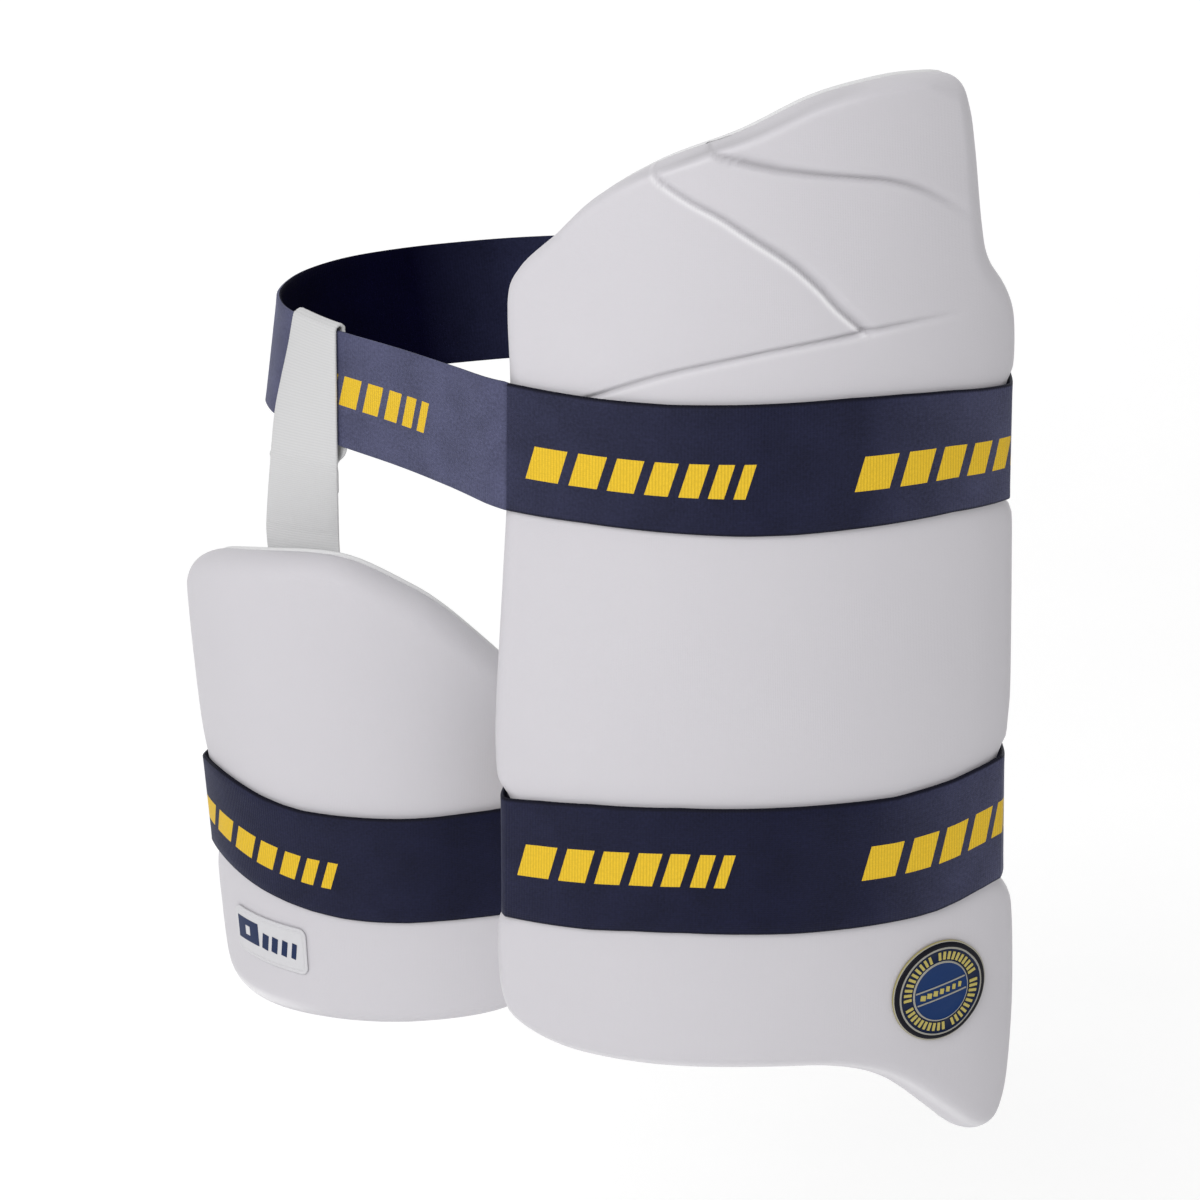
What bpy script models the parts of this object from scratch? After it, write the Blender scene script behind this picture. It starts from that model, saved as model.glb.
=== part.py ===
# A batter's thigh guards on one waist belt: a tall outer guard, and a shorter inner guard that
# hangs from the belt by webbing. The origin is the centre of the waist, at the belt's mid-height.
# +X is to the wearer's left, -Y is forward and +Z is up. Sizes below are in millimetres.

import math
from collections import namedtuple

import bmesh
import bpy
from mathutils import Vector

MM = 0.001

STRAP_THICKNESS = 1.8
SEAT_GAP = 0.4
WEBBING_GAP = 0.6

LINING_THICKNESS = 3.2
LINING_MARGIN = 1.2

WEBBING_WIDTH = 30.0
WEBBING_THICKNESS = 1.2
WEBBING_PLACE = (-125.0, -16.0)
WEBBING_ACROSS = -45.0
WEBBING_ENTRY = -66.0
WEBBING_LAP = 14.0
WEBBING_TAIL = 42.0

BADGE_DIAMETER = 41.0
BADGE_THICKNESS = 1.2
LABEL_SIZE = (42.0, 20.5)
LABEL_CORNER = 3.5
LABEL_THICKNESS = 0.8

CHANNEL_RADIUS = 4.0

# A bend is one arc of a guard's plan, walked outwards from its foremost point.
Bend = namedtuple("Bend", "radius heading")
# A spot lies on a guard: along its curve from the foremost point, and up from the belt's middle.
Spot = namedtuple("Spot", "across height")
# A dent is a spot on a channel's line and the channel's depth there.
Dent = namedtuple("Dent", "across height depth")
# A turn is a point of a strap's plan off the pad, and how far its top edge leans out.
Turn = namedtuple("Turn", "x y lean")
# A strap crosses its guard's front from first to last, rising by its tilt, then takes its turns.
Strap = namedtuple("Strap", "guard height tilt width first last turns")

OUTER_GUARD = {
    "front": (33.0, -106.6),
    "left_bends": [Bend(128, 33), Bend(76, 50)],
    "right_bends": [Bend(128, 35), Bend(52, 80)],
    "flare_left": 0.0002,
    "flare_right": 0.0004,
    "flare_from": 0.0,
    "thickness": 17.0,
    "rim": 7.5,
    "roll": 9.0,
    "left": [
        Spot(-83.5, -222), Spot(-85, -208), Spot(-80.5, -185), Spot(-79.5, -160),
        Spot(-80.5, -138), Spot(-85, -122), Spot(-87, -100), Spot(-83, -20), Spot(-82, 20), Spot(-83, 52),
    ],
    "top": [
        Spot(-83, 52), Spot(-77.5, 65.5), Spot(-64, 78.5), Spot(-50, 92.5), Spot(-28, 106),
        Spot(-3, 116), Spot(22, 127.5), Spot(45, 132.5), Spot(70, 132), Spot(77, 127.5),
    ],
    "right": [
        Spot(97, -281.5), Spot(102.5, -266), Spot(105.5, -235), Spot(104, -205), Spot(94.5, -181),
        Spot(93.5, -150), Spot(95, -122), Spot(101.5, -98), Spot(101, -55), Spot(96, -24),
        Spot(96, 22), Spot(102, 43), Spot(97.5, 56), Spot(90, 67), Spot(87, 80),
        Spot(84, 107), Spot(82, 119), Spot(77, 127.5),
    ],
    "bottom": [
        Spot(-83.5, -222), Spot(-77.5, -231.5), Spot(-60, -238), Spot(-33, -240), Spot(10, -240),
        Spot(33, -242), Spot(51, -250.5), Spot(71, -270.5), Spot(81, -281.5), Spot(89, -285),
        Spot(97, -281.5),
    ],
}

INNER_GUARD = {
    "front": (-86.0, -15.0),
    "left_bends": [Bend(95, 32), Bend(57, 88)],
    "right_bends": [Bend(82, 60)],
    "flare_left": -0.0008,
    "flare_right": 0.0,
    "flare_from": -240.0,
    "thickness": 16.0,
    "rim": 7.0,
    "roll": 9.0,
    "left": [
        Spot(-102, -262), Spot(-104.5, -240), Spot(-97.3, -220), Spot(-96.5, -196), Spot(-96.7, -173),
        Spot(-107, -140), Spot(-104, -99),
    ],
    "top": [
        Spot(-104, -99), Spot(-97, -88), Spot(-83, -79), Spot(-63, -73.5), Spot(-40, -70),
        Spot(-25, -71), Spot(-10, -78), Spot(8, -90.5), Spot(30, -112.5), Spot(48, -133),
        Spot(58, -149),
    ],
    "right": [Spot(58, -240), Spot(64, -222), Spot(61, -196), Spot(63, -165), Spot(58, -149)],
    "bottom": [
        Spot(-102, -262), Spot(-93, -272), Spot(-76, -274.5), Spot(-40, -272), Spot(-1, -268.7),
        Spot(29, -264.7), Spot(47, -255), Spot(58, -240),
    ],
}

BADGE_PLACE = Spot(67, -213)
LABEL_PLACE = Spot(-61, -240)

# The channels that mark off the hip panels.
CHANNELS = {
    "channel_left_panel": [
        Dent(-33, 107, 0.6), Dent(-26, 100.4, 1.4), Dent(-15, 94.3, 2.0), Dent(-2, 87.3, 2.4),
        Dent(10, 79.2, 2.6), Dent(23, 67.2, 2.8), Dent(33, 54.5, 2.8), Dent(39, 46, 2.0),
    ],
    "channel_top_panel": [
        Dent(-18, 112, 1.0), Dent(-9, 109, 2.2), Dent(4, 106.3, 2.6), Dent(29, 102.4, 2.4),
        Dent(43, 100.1, 2.2), Dent(57, 95.7, 2.0), Dent(69, 89.4, 1.2), Dent(80, 82, -0.5),
    ],
    "channel_body": [
        Dent(-92, -4, 1.0), Dent(-80, 4.5, 1.6), Dent(-63, 14.9, 1.8), Dent(-46, 23.1, 1.8),
        Dent(-20, 34.6, 2.0), Dent(11, 42.5, 2.2), Dent(30, 46.2, 2.4), Dent(50, 48.6, 2.0),
        Dent(65, 49.6, 1.2), Dent(80, 50, -0.5),
    ],
}

# The straps, whose turns run from the right end of the front round the back to its left end.
WAIST_STRAP = Strap(OUTER_GUARD, 0.0, 0.0, 47.5, -75, 91, [
    Turn(130.4, -62, 0), Turn(130.6, -24, 0), Turn(129, 14, 4), Turn(120, 48, 8), Turn(96, 79, 12),
    Turn(60, 103, 16), Turn(20, 115, 18), Turn(-18, 118, 19), Turn(-46, 115, 18),
    Turn(-72, 107, 17), Turn(-97, 96, 15), Turn(-119, 82, 10), Turn(-136, 61, 3),
    Turn(-145, 35, -5), Turn(-142, 11, -6), Turn(-131, -8, -4), Turn(-115, -27.5, -1),
    Turn(-91, -51.5, 0), Turn(-70, -73, 0),
])
OUTER_THIGH_STRAP = Strap(OUTER_GUARD, -156.0, 0.06, 49.0, -76, 89, [
    Turn(134.8, -68, -2), Turn(134.2, -32, -1), Turn(123, -8, 0), Turn(100, 4, 0), Turn(72, 0, 0),
    Turn(44, -12, 0), Turn(14, -25, 0), Turn(-15, -38, 0), Turn(-38, -53, 0), Turn(-49, -71, 0),
    Turn(-52.4, -88, 0),
])
INNER_THIGH_STRAP = Strap(INNER_GUARD, -196.0, 0.0, 43.5, -91, 58, [
    Turn(-13.5, 14, 0), Turn(-3, 52, 0), Turn(-7, 88, 0), Turn(-28, 118, 0), Turn(-62, 134, 0),
    Turn(-100, 136, 0), Turn(-133, 122, 0.5), Turn(-157, 98, 1), Turn(-171, 72, 2),
    Turn(-176.8, 50, 3), Turn(-177.6, 34, 3.3),
])


def walk_bends(bends, along, side):
    """The plan offset and heading reached after walking along the bends to one side."""
    x, y, heading = 0.0, 0.0, 0.0
    left = along
    for number, bend in enumerate(bends):
        end = math.radians(bend.heading)
        length = bend.radius * (end - heading)
        last = number == len(bends) - 1
        step = left if last else min(left, length)
        turned = heading + step / bend.radius
        x += bend.radius * (math.sin(turned) - math.sin(heading))
        y += bend.radius * (math.cos(heading) - math.cos(turned))
        heading = turned
        left -= step
        if left <= 0.0:
            break
    return side * x, y, side * heading


def place(guard, across, height, out):
    """A point in metres, out from the guard's skin side, at a spot of the guard."""
    side = "right" if across >= 0.0 else "left"
    sign = 1.0 if across >= 0.0 else -1.0
    x, y, heading = walk_bends(guard[side + "_bends"], abs(across), sign)
    x *= 1.0 - guard["flare_" + side] * (height - guard["flare_from"])
    x += guard["front"][0] + out * math.sin(heading)
    y += guard["front"][1] - out * math.cos(heading)
    return Vector((x, y, height)) * MM


def smooth_line(points, step):
    """Points every step or so along a smooth curve through the given points, ends included."""
    knots = [Vector(point) for point in points]
    knots = [2 * knots[0] - knots[1]] + knots + [2 * knots[-1] - knots[-2]]
    line = [knots[1]]
    for before, start, end, after in zip(knots, knots[1:], knots[2:], knots[3:]):
        pieces = max(1, round((end - start).length / step))
        for piece in range(1, pieces + 1):
            t = piece / pieces
            line.append(0.5 * (
                2 * start
                + (end - before) * t
                + (2 * before - 5 * start + 4 * end - after) * t ** 2
                + (3 * start - before - 3 * end + after) * t ** 3
            ))
    return line


def point_at(line, fraction):
    """The point at a fraction of a line's length."""
    lengths = [(b - a).length for a, b in zip(line, line[1:])]
    rest = fraction * sum(lengths)
    for start, end, length in zip(line, line[1:], lengths):
        if rest <= length:
            return start.lerp(end, rest / length)
        rest -= length
    return line[-1]


def distance_to_line(point, line):
    """The shortest distance from a point to a line of straight pieces."""
    best = math.inf
    for start, end in zip(line, line[1:]):
        span = end - start
        if span.length_squared == 0.0:
            continue
        t = max(0.0, min(1.0, (point - start).dot(span) / span.length_squared))
        best = min(best, (start + span * t - point).length)
    return best


def grid_fractions(count, edge_steps):
    """Fractions from 0 to 1 that lie close together at both ends."""
    start = edge_steps[-1]
    middle = [start + (1 - 2 * start) * k / count for k in range(1, count)]
    return [0.0, *edge_steps, *middle, *[1 - step for step in reversed(edge_steps)], 1.0]


def guard_spots(guard, columns, rows, margin):
    """Spots that fill the guard's outline, row by row, grown by a margin, and each one's edge distance."""
    edges = {name: smooth_line(guard[name], 4.0) for name in ("left", "right", "top", "bottom")}
    whole = edges["bottom"] + edges["right"][1:] + edges["top"][::-1][1:] + edges["left"][::-1][1:]
    low = Vector([min(p[axis] for p in whole) for axis in (0, 1)])
    high = Vector([max(p[axis] for p in whole) for axis in (0, 1)])
    middle, half = (low + high) / 2, (high - low) / 2
    bottoms = [point_at(edges["bottom"], s) for s in columns]
    tops = [point_at(edges["top"], s) for s in columns]
    lefts = [point_at(edges["left"], t) for t in rows]
    rights = [point_at(edges["right"], t) for t in rows]
    spots = []
    for t, left, right in zip(rows, lefts, rights):
        for s, bottom, top in zip(columns, bottoms, tops):
            corners = (
                (1 - s) * (1 - t) * bottoms[0] + s * (1 - t) * bottoms[-1]
                + (1 - s) * t * tops[0] + s * t * tops[-1]
            )
            spot = (1 - t) * bottom + t * top + (1 - s) * left + s * right - corners
            depth = distance_to_line(spot, whole)
            spot = Vector([spot[a] + (spot[a] - middle[a]) * margin / half[a] for a in (0, 1)])
            spots.append((spot, depth))
    return spots


def material(name, colour, roughness):
    """A Principled material of one colour."""
    made = bpy.data.materials.new(name)
    made.use_nodes = True
    shader = made.node_tree.nodes["Principled BSDF"]
    shader.inputs["Base Color"].default_value = (*colour, 1.0)
    shader.inputs["Roughness"].default_value = roughness
    shader.inputs["Metallic"].default_value = 0.0
    made.diffuse_color = (*colour, 1.0)
    return made


def new_collection(name):
    """A collection in the scene."""
    made = bpy.data.collections.new(name)
    bpy.context.scene.collection.children.link(made)
    return made


def add_object(name, data, collection, finish=None):
    """An object of the data in a collection."""
    made = bpy.data.objects.new(name, data)
    collection.objects.link(made)
    if finish:
        data.materials.append(finish)
    return made


def grid_mesh(name, columns, rows, position):
    """A grid mesh whose corners are moved to position(column, row), and those pairs in its order."""
    shape = bmesh.new()
    bmesh.ops.create_grid(shape, x_segments=columns - 1, y_segments=rows - 1, size=0.5)
    order = []
    for vertex in shape.verts:
        column = round((vertex.co.x + 0.5) * (columns - 1))
        row = round((vertex.co.y + 0.5) * (rows - 1))
        vertex.co = position(column, row)
        order.append((column, row))
    mesh = bpy.data.meshes.new(name)
    shape.to_mesh(mesh)
    shape.free()
    return mesh, order


def weld(mesh):
    """Join a mesh's corners that lie at one place."""
    shape = bmesh.new()
    shape.from_mesh(mesh)
    bmesh.ops.remove_doubles(shape, verts=shape.verts, dist=0.00001)
    shape.to_mesh(mesh)
    shape.free()


def thicken(piece, thickness, offset=1.0, weights=None):
    """A wall on the side that the faces point to, or half on each, thinner where a weight says so."""
    solid = piece.modifiers.new("thickness", "SOLIDIFY")
    solid.thickness = thickness * MM
    solid.offset = offset
    if weights:
        group = piece.vertex_groups.new(name="thickness")
        for index, weight in enumerate(weights):
            group.add([index], weight, "REPLACE")
        solid.vertex_group = group.name


def rolled(depth, guard):
    """How thick the foam is at a depth inside its edge: it rolls off to a thinner rim."""
    base = LINING_THICKNESS + SEAT_GAP
    full = guard["thickness"] - base
    rim = guard["rim"] - base
    inward = min(depth / guard["roll"], 1.0)
    return rim + (full - rim) * math.sqrt(1.0 - (1.0 - inward) ** 2)


def add_pad(name, guard, columns, rows, collection, finish):
    """The moulded foam of a guard in its cover."""
    base = LINING_THICKNESS + SEAT_GAP
    full = guard["thickness"] - base
    spots = guard_spots(guard, columns, rows, 0.0)

    def spot_at(column, row):
        return spots[row * len(columns) + column]

    def position(column, row):
        spot, _ = spot_at(column, row)
        return place(guard, spot[0], spot[1], base)

    mesh, order = grid_mesh(name, len(columns), len(rows), position)
    piece = add_object(name, mesh, collection, finish)
    thicken(piece, full, weights=[rolled(spot_at(*pair)[1], guard) / full for pair in order])
    return piece


def add_lining(name, guard, columns, rows, collection, finish):
    """The backing layer of a guard, a little wider than its foam."""
    spots = guard_spots(guard, columns, rows, LINING_MARGIN)

    def position(column, row):
        spot, _ = spots[row * len(columns) + column]
        return place(guard, spot[0], spot[1], 0.0)

    mesh, _ = grid_mesh(name, len(columns), len(rows), position)
    piece = add_object(name, mesh, collection, finish)
    thicken(piece, LINING_THICKNESS)
    return piece


def add_channel_cutter(name, guard, dents, collection):
    """A round bar along a channel's line, sunk into the foam by the channel's depth."""
    points = []
    for dent in smooth_line(dents, 7.0):
        out = guard["thickness"] + CHANNEL_RADIUS - dent[2]
        points.append(place(guard, dent[0], dent[1], out))
    curve = bpy.data.curves.new(name, "CURVE")
    curve.dimensions = "3D"
    curve.bevel_depth = CHANNEL_RADIUS * MM
    curve.bevel_resolution = 2
    curve.use_fill_caps = True
    line = curve.splines.new("POLY")
    line.points.add(len(points) - 1)
    for knot, point in zip(line.points, points):
        knot.co = (*point, 1.0)
    bar = add_object(name + "_line", curve, collection)
    depsgraph = bpy.context.evaluated_depsgraph_get()
    mesh = bpy.data.meshes.new_from_object(bar.evaluated_get(depsgraph))
    weld(mesh)
    cutter = add_object(name, mesh, collection)
    cutter.matrix_world = bar.matrix_world
    cutter.hide_render = True
    cutter.display_type = "WIRE"
    bpy.data.objects.remove(bar)
    return cutter


def cut(piece, cutter):
    """Take a cutter's shape out of a piece."""
    boolean = piece.modifiers.new(cutter.name, "BOOLEAN")
    boolean.operation = "DIFFERENCE"
    boolean.object = cutter


def strap_height(strap, across):
    """The height of a strap's middle where it crosses its guard."""
    return strap.height + strap.tilt * across


def strap_edges(strap, across):
    """The lower and upper edge points of a strap's inner face where it crosses its guard."""
    seat = strap.guard["thickness"] + SEAT_GAP
    middle, half = strap_height(strap, across), strap.width / 2
    return [place(strap.guard, across, middle + rise, seat) for rise in (-half, half)]


def strap_ring(strap):
    """A strap's stops on its guard, and the closed plan of its inner face round them: x, y and lean."""
    steps = round((strap.last - strap.first) / 6.0)
    stops = [strap.first + (strap.last - strap.first) * step / steps for step in range(steps + 1)]
    front = []
    for across in stops:
        low, high = strap_edges(strap, across)
        outward = place(strap.guard, across, 0.0, 1.0) - place(strap.guard, across, 0.0, 0.0)
        middle = (low + high) / 2 / MM
        front.append(Vector((middle.x, middle.y, (high - low).dot(outward.normalized()) / MM)))
    curve = smooth_line(front[-2:] + [Vector(turn) for turn in strap.turns] + front[:2], 8.0)
    start = min(range(len(curve)), key=lambda i: (curve[i] - front[-1]).length)
    end = min(range(len(curve)), key=lambda i: (curve[i] - front[0]).length)
    return stops, [front[-1]] + curve[start + 1:end] + [front[0]]


def plan_normal(before, after):
    """The outward direction in plan of a strap that runs from one point to the next."""
    along = (after.xy - before.xy).normalized()
    return Vector((along.y, -along.x, 0.0))


def add_strap(name, strap, collection, finish):
    """A closed flat elastic strap seated on the front of its guard."""
    stops, ring = strap_ring(strap)
    half = strap.width / 2
    stations = [strap_edges(strap, across) for across in stops]
    for number in range(1, len(ring) - 1):
        here = ring[number]
        back = number / (len(ring) - 1)
        height = strap_height(strap, strap.last + (strap.first - strap.last) * back)
        normal = plan_normal(ring[number - 1], ring[number + 1])
        middle = Vector((here.x, here.y, height))
        up = Vector((0.0, 0.0, math.sqrt(half ** 2 - (here.z / 2) ** 2))) + normal * here.z / 2
        stations.append([(middle - up) * MM, (middle + up) * MM])
    stations.append(stations[0])
    mesh, _ = grid_mesh(name, len(stations), 2, lambda column, row: stations[column][row])
    weld(mesh)
    piece = add_object(name, mesh, collection, finish)
    thicken(piece, STRAP_THICKNESS)
    return piece


def webbing_thread(belt, guard, shift):
    """One thread of the hanger webbing, shifted across its width, from its tail to its sewn end."""
    half = WEBBING_THICKNESS / 2
    front = STRAP_THICKNESS + WEBBING_GAP + half
    back = -WEBBING_GAP - half
    crown = (front + back) / 2
    width = WAIST_STRAP.width
    point, normal = belt(shift)

    def on_belt(out, rise):
        face = normal * (out + point.z * rise / width)
        return Vector((point.x, point.y, rise)) + face

    def in_pad(height):
        return place(guard, WEBBING_ACROSS + shift, height, back) / MM

    top, entry = on_belt(front, -width / 2 - 1.5), in_pad(WEBBING_ENTRY)
    tail = [in_pad(WEBBING_ENTRY - WEBBING_TAIL * (4 - k) / 4) for k in range(4)]
    hanging = [entry.lerp(top, k / 5) for k in range(6)]
    rising = [on_belt(front, width * (k / 4 - 0.5)) for k in range(5)]
    fold = []
    for k in range(1, 6):
        angle = math.pi * k / 6
        out = crown + (front - crown) * math.cos(angle)
        fold.append(on_belt(out, width / 2 + (front - crown) * math.sin(angle)))
    falling = [on_belt(back, width * (0.5 - k / 4)) for k in range(5)]
    drop = (top - entry) / (top.z - entry.z)
    behind = Vector((0.0, (WEBBING_THICKNESS + WEBBING_GAP) / abs(normal.y), 0.0))
    lap = [top - drop * (3.0 + WEBBING_LAP * k / 3) + behind for k in range(4)]
    return tail + hanging + rising + fold + falling + lap


def belt_sampler(strap, near):
    """A function from a distance along a strap, counted from a place, to its point and normal."""
    _, ring = strap_ring(strap)
    target = Vector(near)
    lengths = [0.0]
    for before, after in zip(ring, ring[1:]):
        lengths.append(lengths[-1] + (after.xy - before.xy).length)
    nearest = min(range(len(ring)), key=lambda i: (ring[i].xy - target).length)

    def normal_at(index):
        return plan_normal(ring[index - 1], ring[index + 1])

    def belt(shift):
        wanted = lengths[nearest] + shift
        index = max(i for i in range(len(ring) - 1) if lengths[i] <= wanted)
        part = (wanted - lengths[index]) / (lengths[index + 1] - lengths[index])
        normal = normal_at(index).lerp(normal_at(index + 1), part).normalized()
        return ring[index].lerp(ring[index + 1], part), normal

    return belt


def add_webbing(name, guard, collection, finish):
    """The webbing that is folded over the belt and sewn inside the inner guard."""
    belt = belt_sampler(WAIST_STRAP, WEBBING_PLACE)
    threads = [webbing_thread(belt, guard, WEBBING_WIDTH * (k / 4 - 0.5)) for k in range(5)]
    mesh, _ = grid_mesh(name, 5, len(threads[0]), lambda c, r: threads[c][r] * MM)
    piece = add_object(name, mesh, collection, finish)
    thicken(piece, WEBBING_THICKNESS, offset=0.0)
    return piece


def disc_shape(x, y, size):
    """A square's point from -1 to 1 moved into a round patch of that size."""
    radius = size[0] / 2
    return radius * x * math.sqrt(1 - y * y / 2), radius * y * math.sqrt(1 - x * x / 2)


def label_shape(x, y, size):
    """A square's point from -1 to 1 moved into a rounded label of that size."""
    half_width, half_height = size[0] / 2, size[1] / 2
    past = max(0.0, abs(y) * half_height - (half_height - LABEL_CORNER))
    inset = LABEL_CORNER - math.sqrt(LABEL_CORNER ** 2 - past ** 2)
    return x * (half_width - inset), y * half_height


def add_patch(name, guard, middle, size, shape, divisions, thickness, collection, finish):
    """A thin patch that lies on a guard's front."""
    columns, rows = divisions
    seat = guard["thickness"] + SEAT_GAP
    ends = [place(guard, middle.across + side, middle.height, seat) for side in (-5.0, 5.0)]
    stretch = (ends[1] - ends[0]).length / (10.0 * MM)

    def position(column, row):
        x, y = shape(2 * column / (columns - 1) - 1, 2 * row / (rows - 1) - 1, size)
        return place(guard, middle.across + x / stretch, middle.height + y, seat)

    mesh, _ = grid_mesh(name, columns, rows, position)
    piece = add_object(name, mesh, collection, finish)
    thicken(piece, thickness)
    return piece


def build():
    """The whole object, piece by piece."""
    for old in list(bpy.data.objects):
        bpy.data.objects.remove(old)
    parts = new_collection("thigh_guard_set")
    cutters = new_collection("cutters")

    cover = material("pale_cover", (0.72, 0.72, 0.75), 0.6)
    backing = material("white_backing", (0.85, 0.85, 0.86), 0.8)
    elastic = material("navy_elastic", (0.035, 0.043, 0.11), 0.75)
    tape = material("white_webbing", (0.82, 0.82, 0.82), 0.8)
    badge_blue = material("blue_patch", (0.01, 0.05, 0.16), 0.45)
    label_white = material("white_label", (0.8, 0.8, 0.82), 0.5)

    columns = grid_fractions(17, [0.01, 0.026, 0.05])
    outer_rows = grid_fractions(22, [0.005, 0.013, 0.025])
    inner_rows = grid_fractions(13, [0.01, 0.026, 0.05])

    outer = add_pad("outer_pad", OUTER_GUARD, columns, outer_rows, parts, cover)
    for name, dents in CHANNELS.items():
        cut(outer, add_channel_cutter(name, OUTER_GUARD, dents, cutters))
    add_lining("outer_lining", OUTER_GUARD, columns, grid_fractions(16, [0.02]), parts, backing)

    add_pad("inner_pad", INNER_GUARD, columns, inner_rows, parts, cover)
    add_lining("inner_lining", INNER_GUARD, columns, grid_fractions(10, [0.03]), parts, backing)

    add_strap("waist_strap", WAIST_STRAP, parts, elastic)
    add_strap("outer_thigh_strap", OUTER_THIGH_STRAP, parts, elastic)
    add_strap("inner_thigh_strap", INNER_THIGH_STRAP, parts, elastic)
    add_webbing("hanger_webbing", INNER_GUARD, parts, tape)

    add_patch(
        "round_badge", OUTER_GUARD, BADGE_PLACE, (BADGE_DIAMETER, BADGE_DIAMETER), disc_shape, (9, 9),
        BADGE_THICKNESS, parts, badge_blue,
    )
    add_patch(
        "name_label", INNER_GUARD, LABEL_PLACE, LABEL_SIZE, label_shape, (9, 7),
        LABEL_THICKNESS, parts, label_white,
    )


build()
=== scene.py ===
import math

import bmesh
import bpy
import numpy as np
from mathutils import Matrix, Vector


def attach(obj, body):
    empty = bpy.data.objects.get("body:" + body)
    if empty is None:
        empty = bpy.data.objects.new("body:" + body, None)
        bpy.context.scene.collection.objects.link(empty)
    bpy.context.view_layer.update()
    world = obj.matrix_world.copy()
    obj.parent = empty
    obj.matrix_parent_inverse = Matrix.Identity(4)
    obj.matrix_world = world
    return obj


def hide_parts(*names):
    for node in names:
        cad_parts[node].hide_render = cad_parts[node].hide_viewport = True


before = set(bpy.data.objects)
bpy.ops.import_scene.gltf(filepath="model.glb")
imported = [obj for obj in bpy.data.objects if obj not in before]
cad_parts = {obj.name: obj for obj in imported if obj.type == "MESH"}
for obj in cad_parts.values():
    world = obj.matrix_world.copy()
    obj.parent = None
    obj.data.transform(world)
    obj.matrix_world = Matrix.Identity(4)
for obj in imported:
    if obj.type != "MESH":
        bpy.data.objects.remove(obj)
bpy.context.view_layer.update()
print("stage: frame loaded")

mm = 0.001
seatGap = 0.4
liningThickness = 3.2
padBase = liningThickness + seatGap

# the two guards, in millimetres: plan curve from the foremost point, padding and outline
# a bend is a radius and the heading it ends at; an outline spot is across and height
outerGuard = {
    "front": (33.0, -106.6),
    "leftBends": [(128, 33), (76, 50)],
    "rightBends": [(128, 35), (52, 80)],
    "flareLeft": 0.0002,
    "flareRight": 0.0004,
    "flareFrom": 0.0,
    "thickness": 17.0,
    "rim": 5.4,
    "left": [
        (-83.5, -222), (-85.5, -208), (-85.5, -189.5), (-80.8, -182.5), (-79.5, -173), (-79.5, -150),
        (-80.6, -140.2), (-85.6, -133.2), (-87, -123.5), (-87, -100), (-83, -20), (-82, 20), (-83, 52),
    ],
    "top": [
        (-83, 52), (-77.5, 65.5), (-64, 78.5), (-50, 92.5), (-28, 106), (-3, 116), (22, 127.5),
        (45, 132.5), (62, 133.4), (75.5, 131.4),
    ],
    "right": [
        (95.5, -280.3), (101.5, -266), (105, -235), (105, -205), (103.5, -187.5), (99.8, -179.5),
        (94.6, -173), (93.5, -163), (93.5, -140), (94.6, -127), (99.3, -120.4), (100.8, -111.5),
        (102, -98), (102, -50), (101.3, -29.5), (97, -23), (96, -12), (96, 8), (97, 16.5),
        (101.2, 23), (102.2, 34), (101.5, 46), (97, 56), (89, 67), (86, 80), (83, 107),
        (80.5, 122), (75.5, 131.4),
    ],
    "bottom": [
        (-83.5, -222), (-77.5, -231.5), (-60, -238), (-33, -240), (10, -240), (33, -242),
        (51, -250.5), (71, -270.5), (80, -280), (87.5, -283.6), (95.5, -280.3),
    ],
}
innerGuard = {
    "front": (-86.0, -15.0),
    "leftBends": [(95, 32), (57, 88)],
    "rightBends": [(82, 60)],
    "flareLeft": -0.0008,
    "flareRight": 0.0,
    "flareFrom": -240.0,
    "thickness": 16.0,
    "rim": 5.2,
    "roll": 9.0,
    "left": [
        (-102, -262), (-104.5, -240), (-102.5, -220), (-97.4, -210), (-96.2, -198), (-96.2, -183),
        (-97.4, -172.6), (-102, -163.6), (-105.5, -150), (-107, -132), (-104, -99),
    ],
    "top": [
        (-104, -99), (-97, -88), (-83, -79), (-63, -73.5), (-40, -70), (-25, -71), (-10, -78),
        (8, -90.5), (30, -112.5), (48, -133), (58, -149),
    ],
    "right": [(58, -240), (64, -222), (61, -196), (63, -165), (58, -149)],
    "bottom": [
        (-102, -262), (-93, -272), (-76, -274.5), (-40, -272), (-1, -268.7), (29, -264.7),
        (47, -255), (58, -240),
    ],
}


# shapes on the guards
def walkBends(bends, along):
    x, y, heading = np.zeros_like(along), np.zeros_like(along), np.zeros_like(along)
    left, start = along.copy(), 0.0
    for number, (radius, degrees) in enumerate(bends):
        end = math.radians(degrees)
        step = left if number == len(bends) - 1 else np.minimum(left, radius * (end - start))
        turned = start + step / radius
        x = x + radius * (np.sin(turned) - math.sin(start))
        y = y + radius * (math.cos(start) - np.cos(turned))
        heading = np.where(step > 0, turned, heading)
        left, start = left - step, end
    return x, y, heading


def placeOn(guard, across, height, out):
    # metres in the frame, out from the side that faces the leg
    across, height, out = np.broadcast_arrays(
        np.asarray(across, float), np.asarray(height, float), np.asarray(out, float))
    right = walkBends(guard["rightBends"], np.maximum(across, 0.0))
    left = walkBends(guard["leftBends"], np.maximum(-across, 0.0))
    onRight = across >= 0.0
    heading = np.where(onRight, right[2], -left[2])
    flare = np.where(onRight, guard["flareRight"], guard["flareLeft"])
    x = np.where(onRight, right[0], -left[0]) * (1.0 - flare * (height - guard["flareFrom"]))
    y = np.where(onRight, right[1], left[1])
    x = x + guard["front"][0] + out * np.sin(heading)
    y = y + guard["front"][1] - out * np.cos(heading)
    return np.stack([x, y, height], -1) * mm


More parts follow.
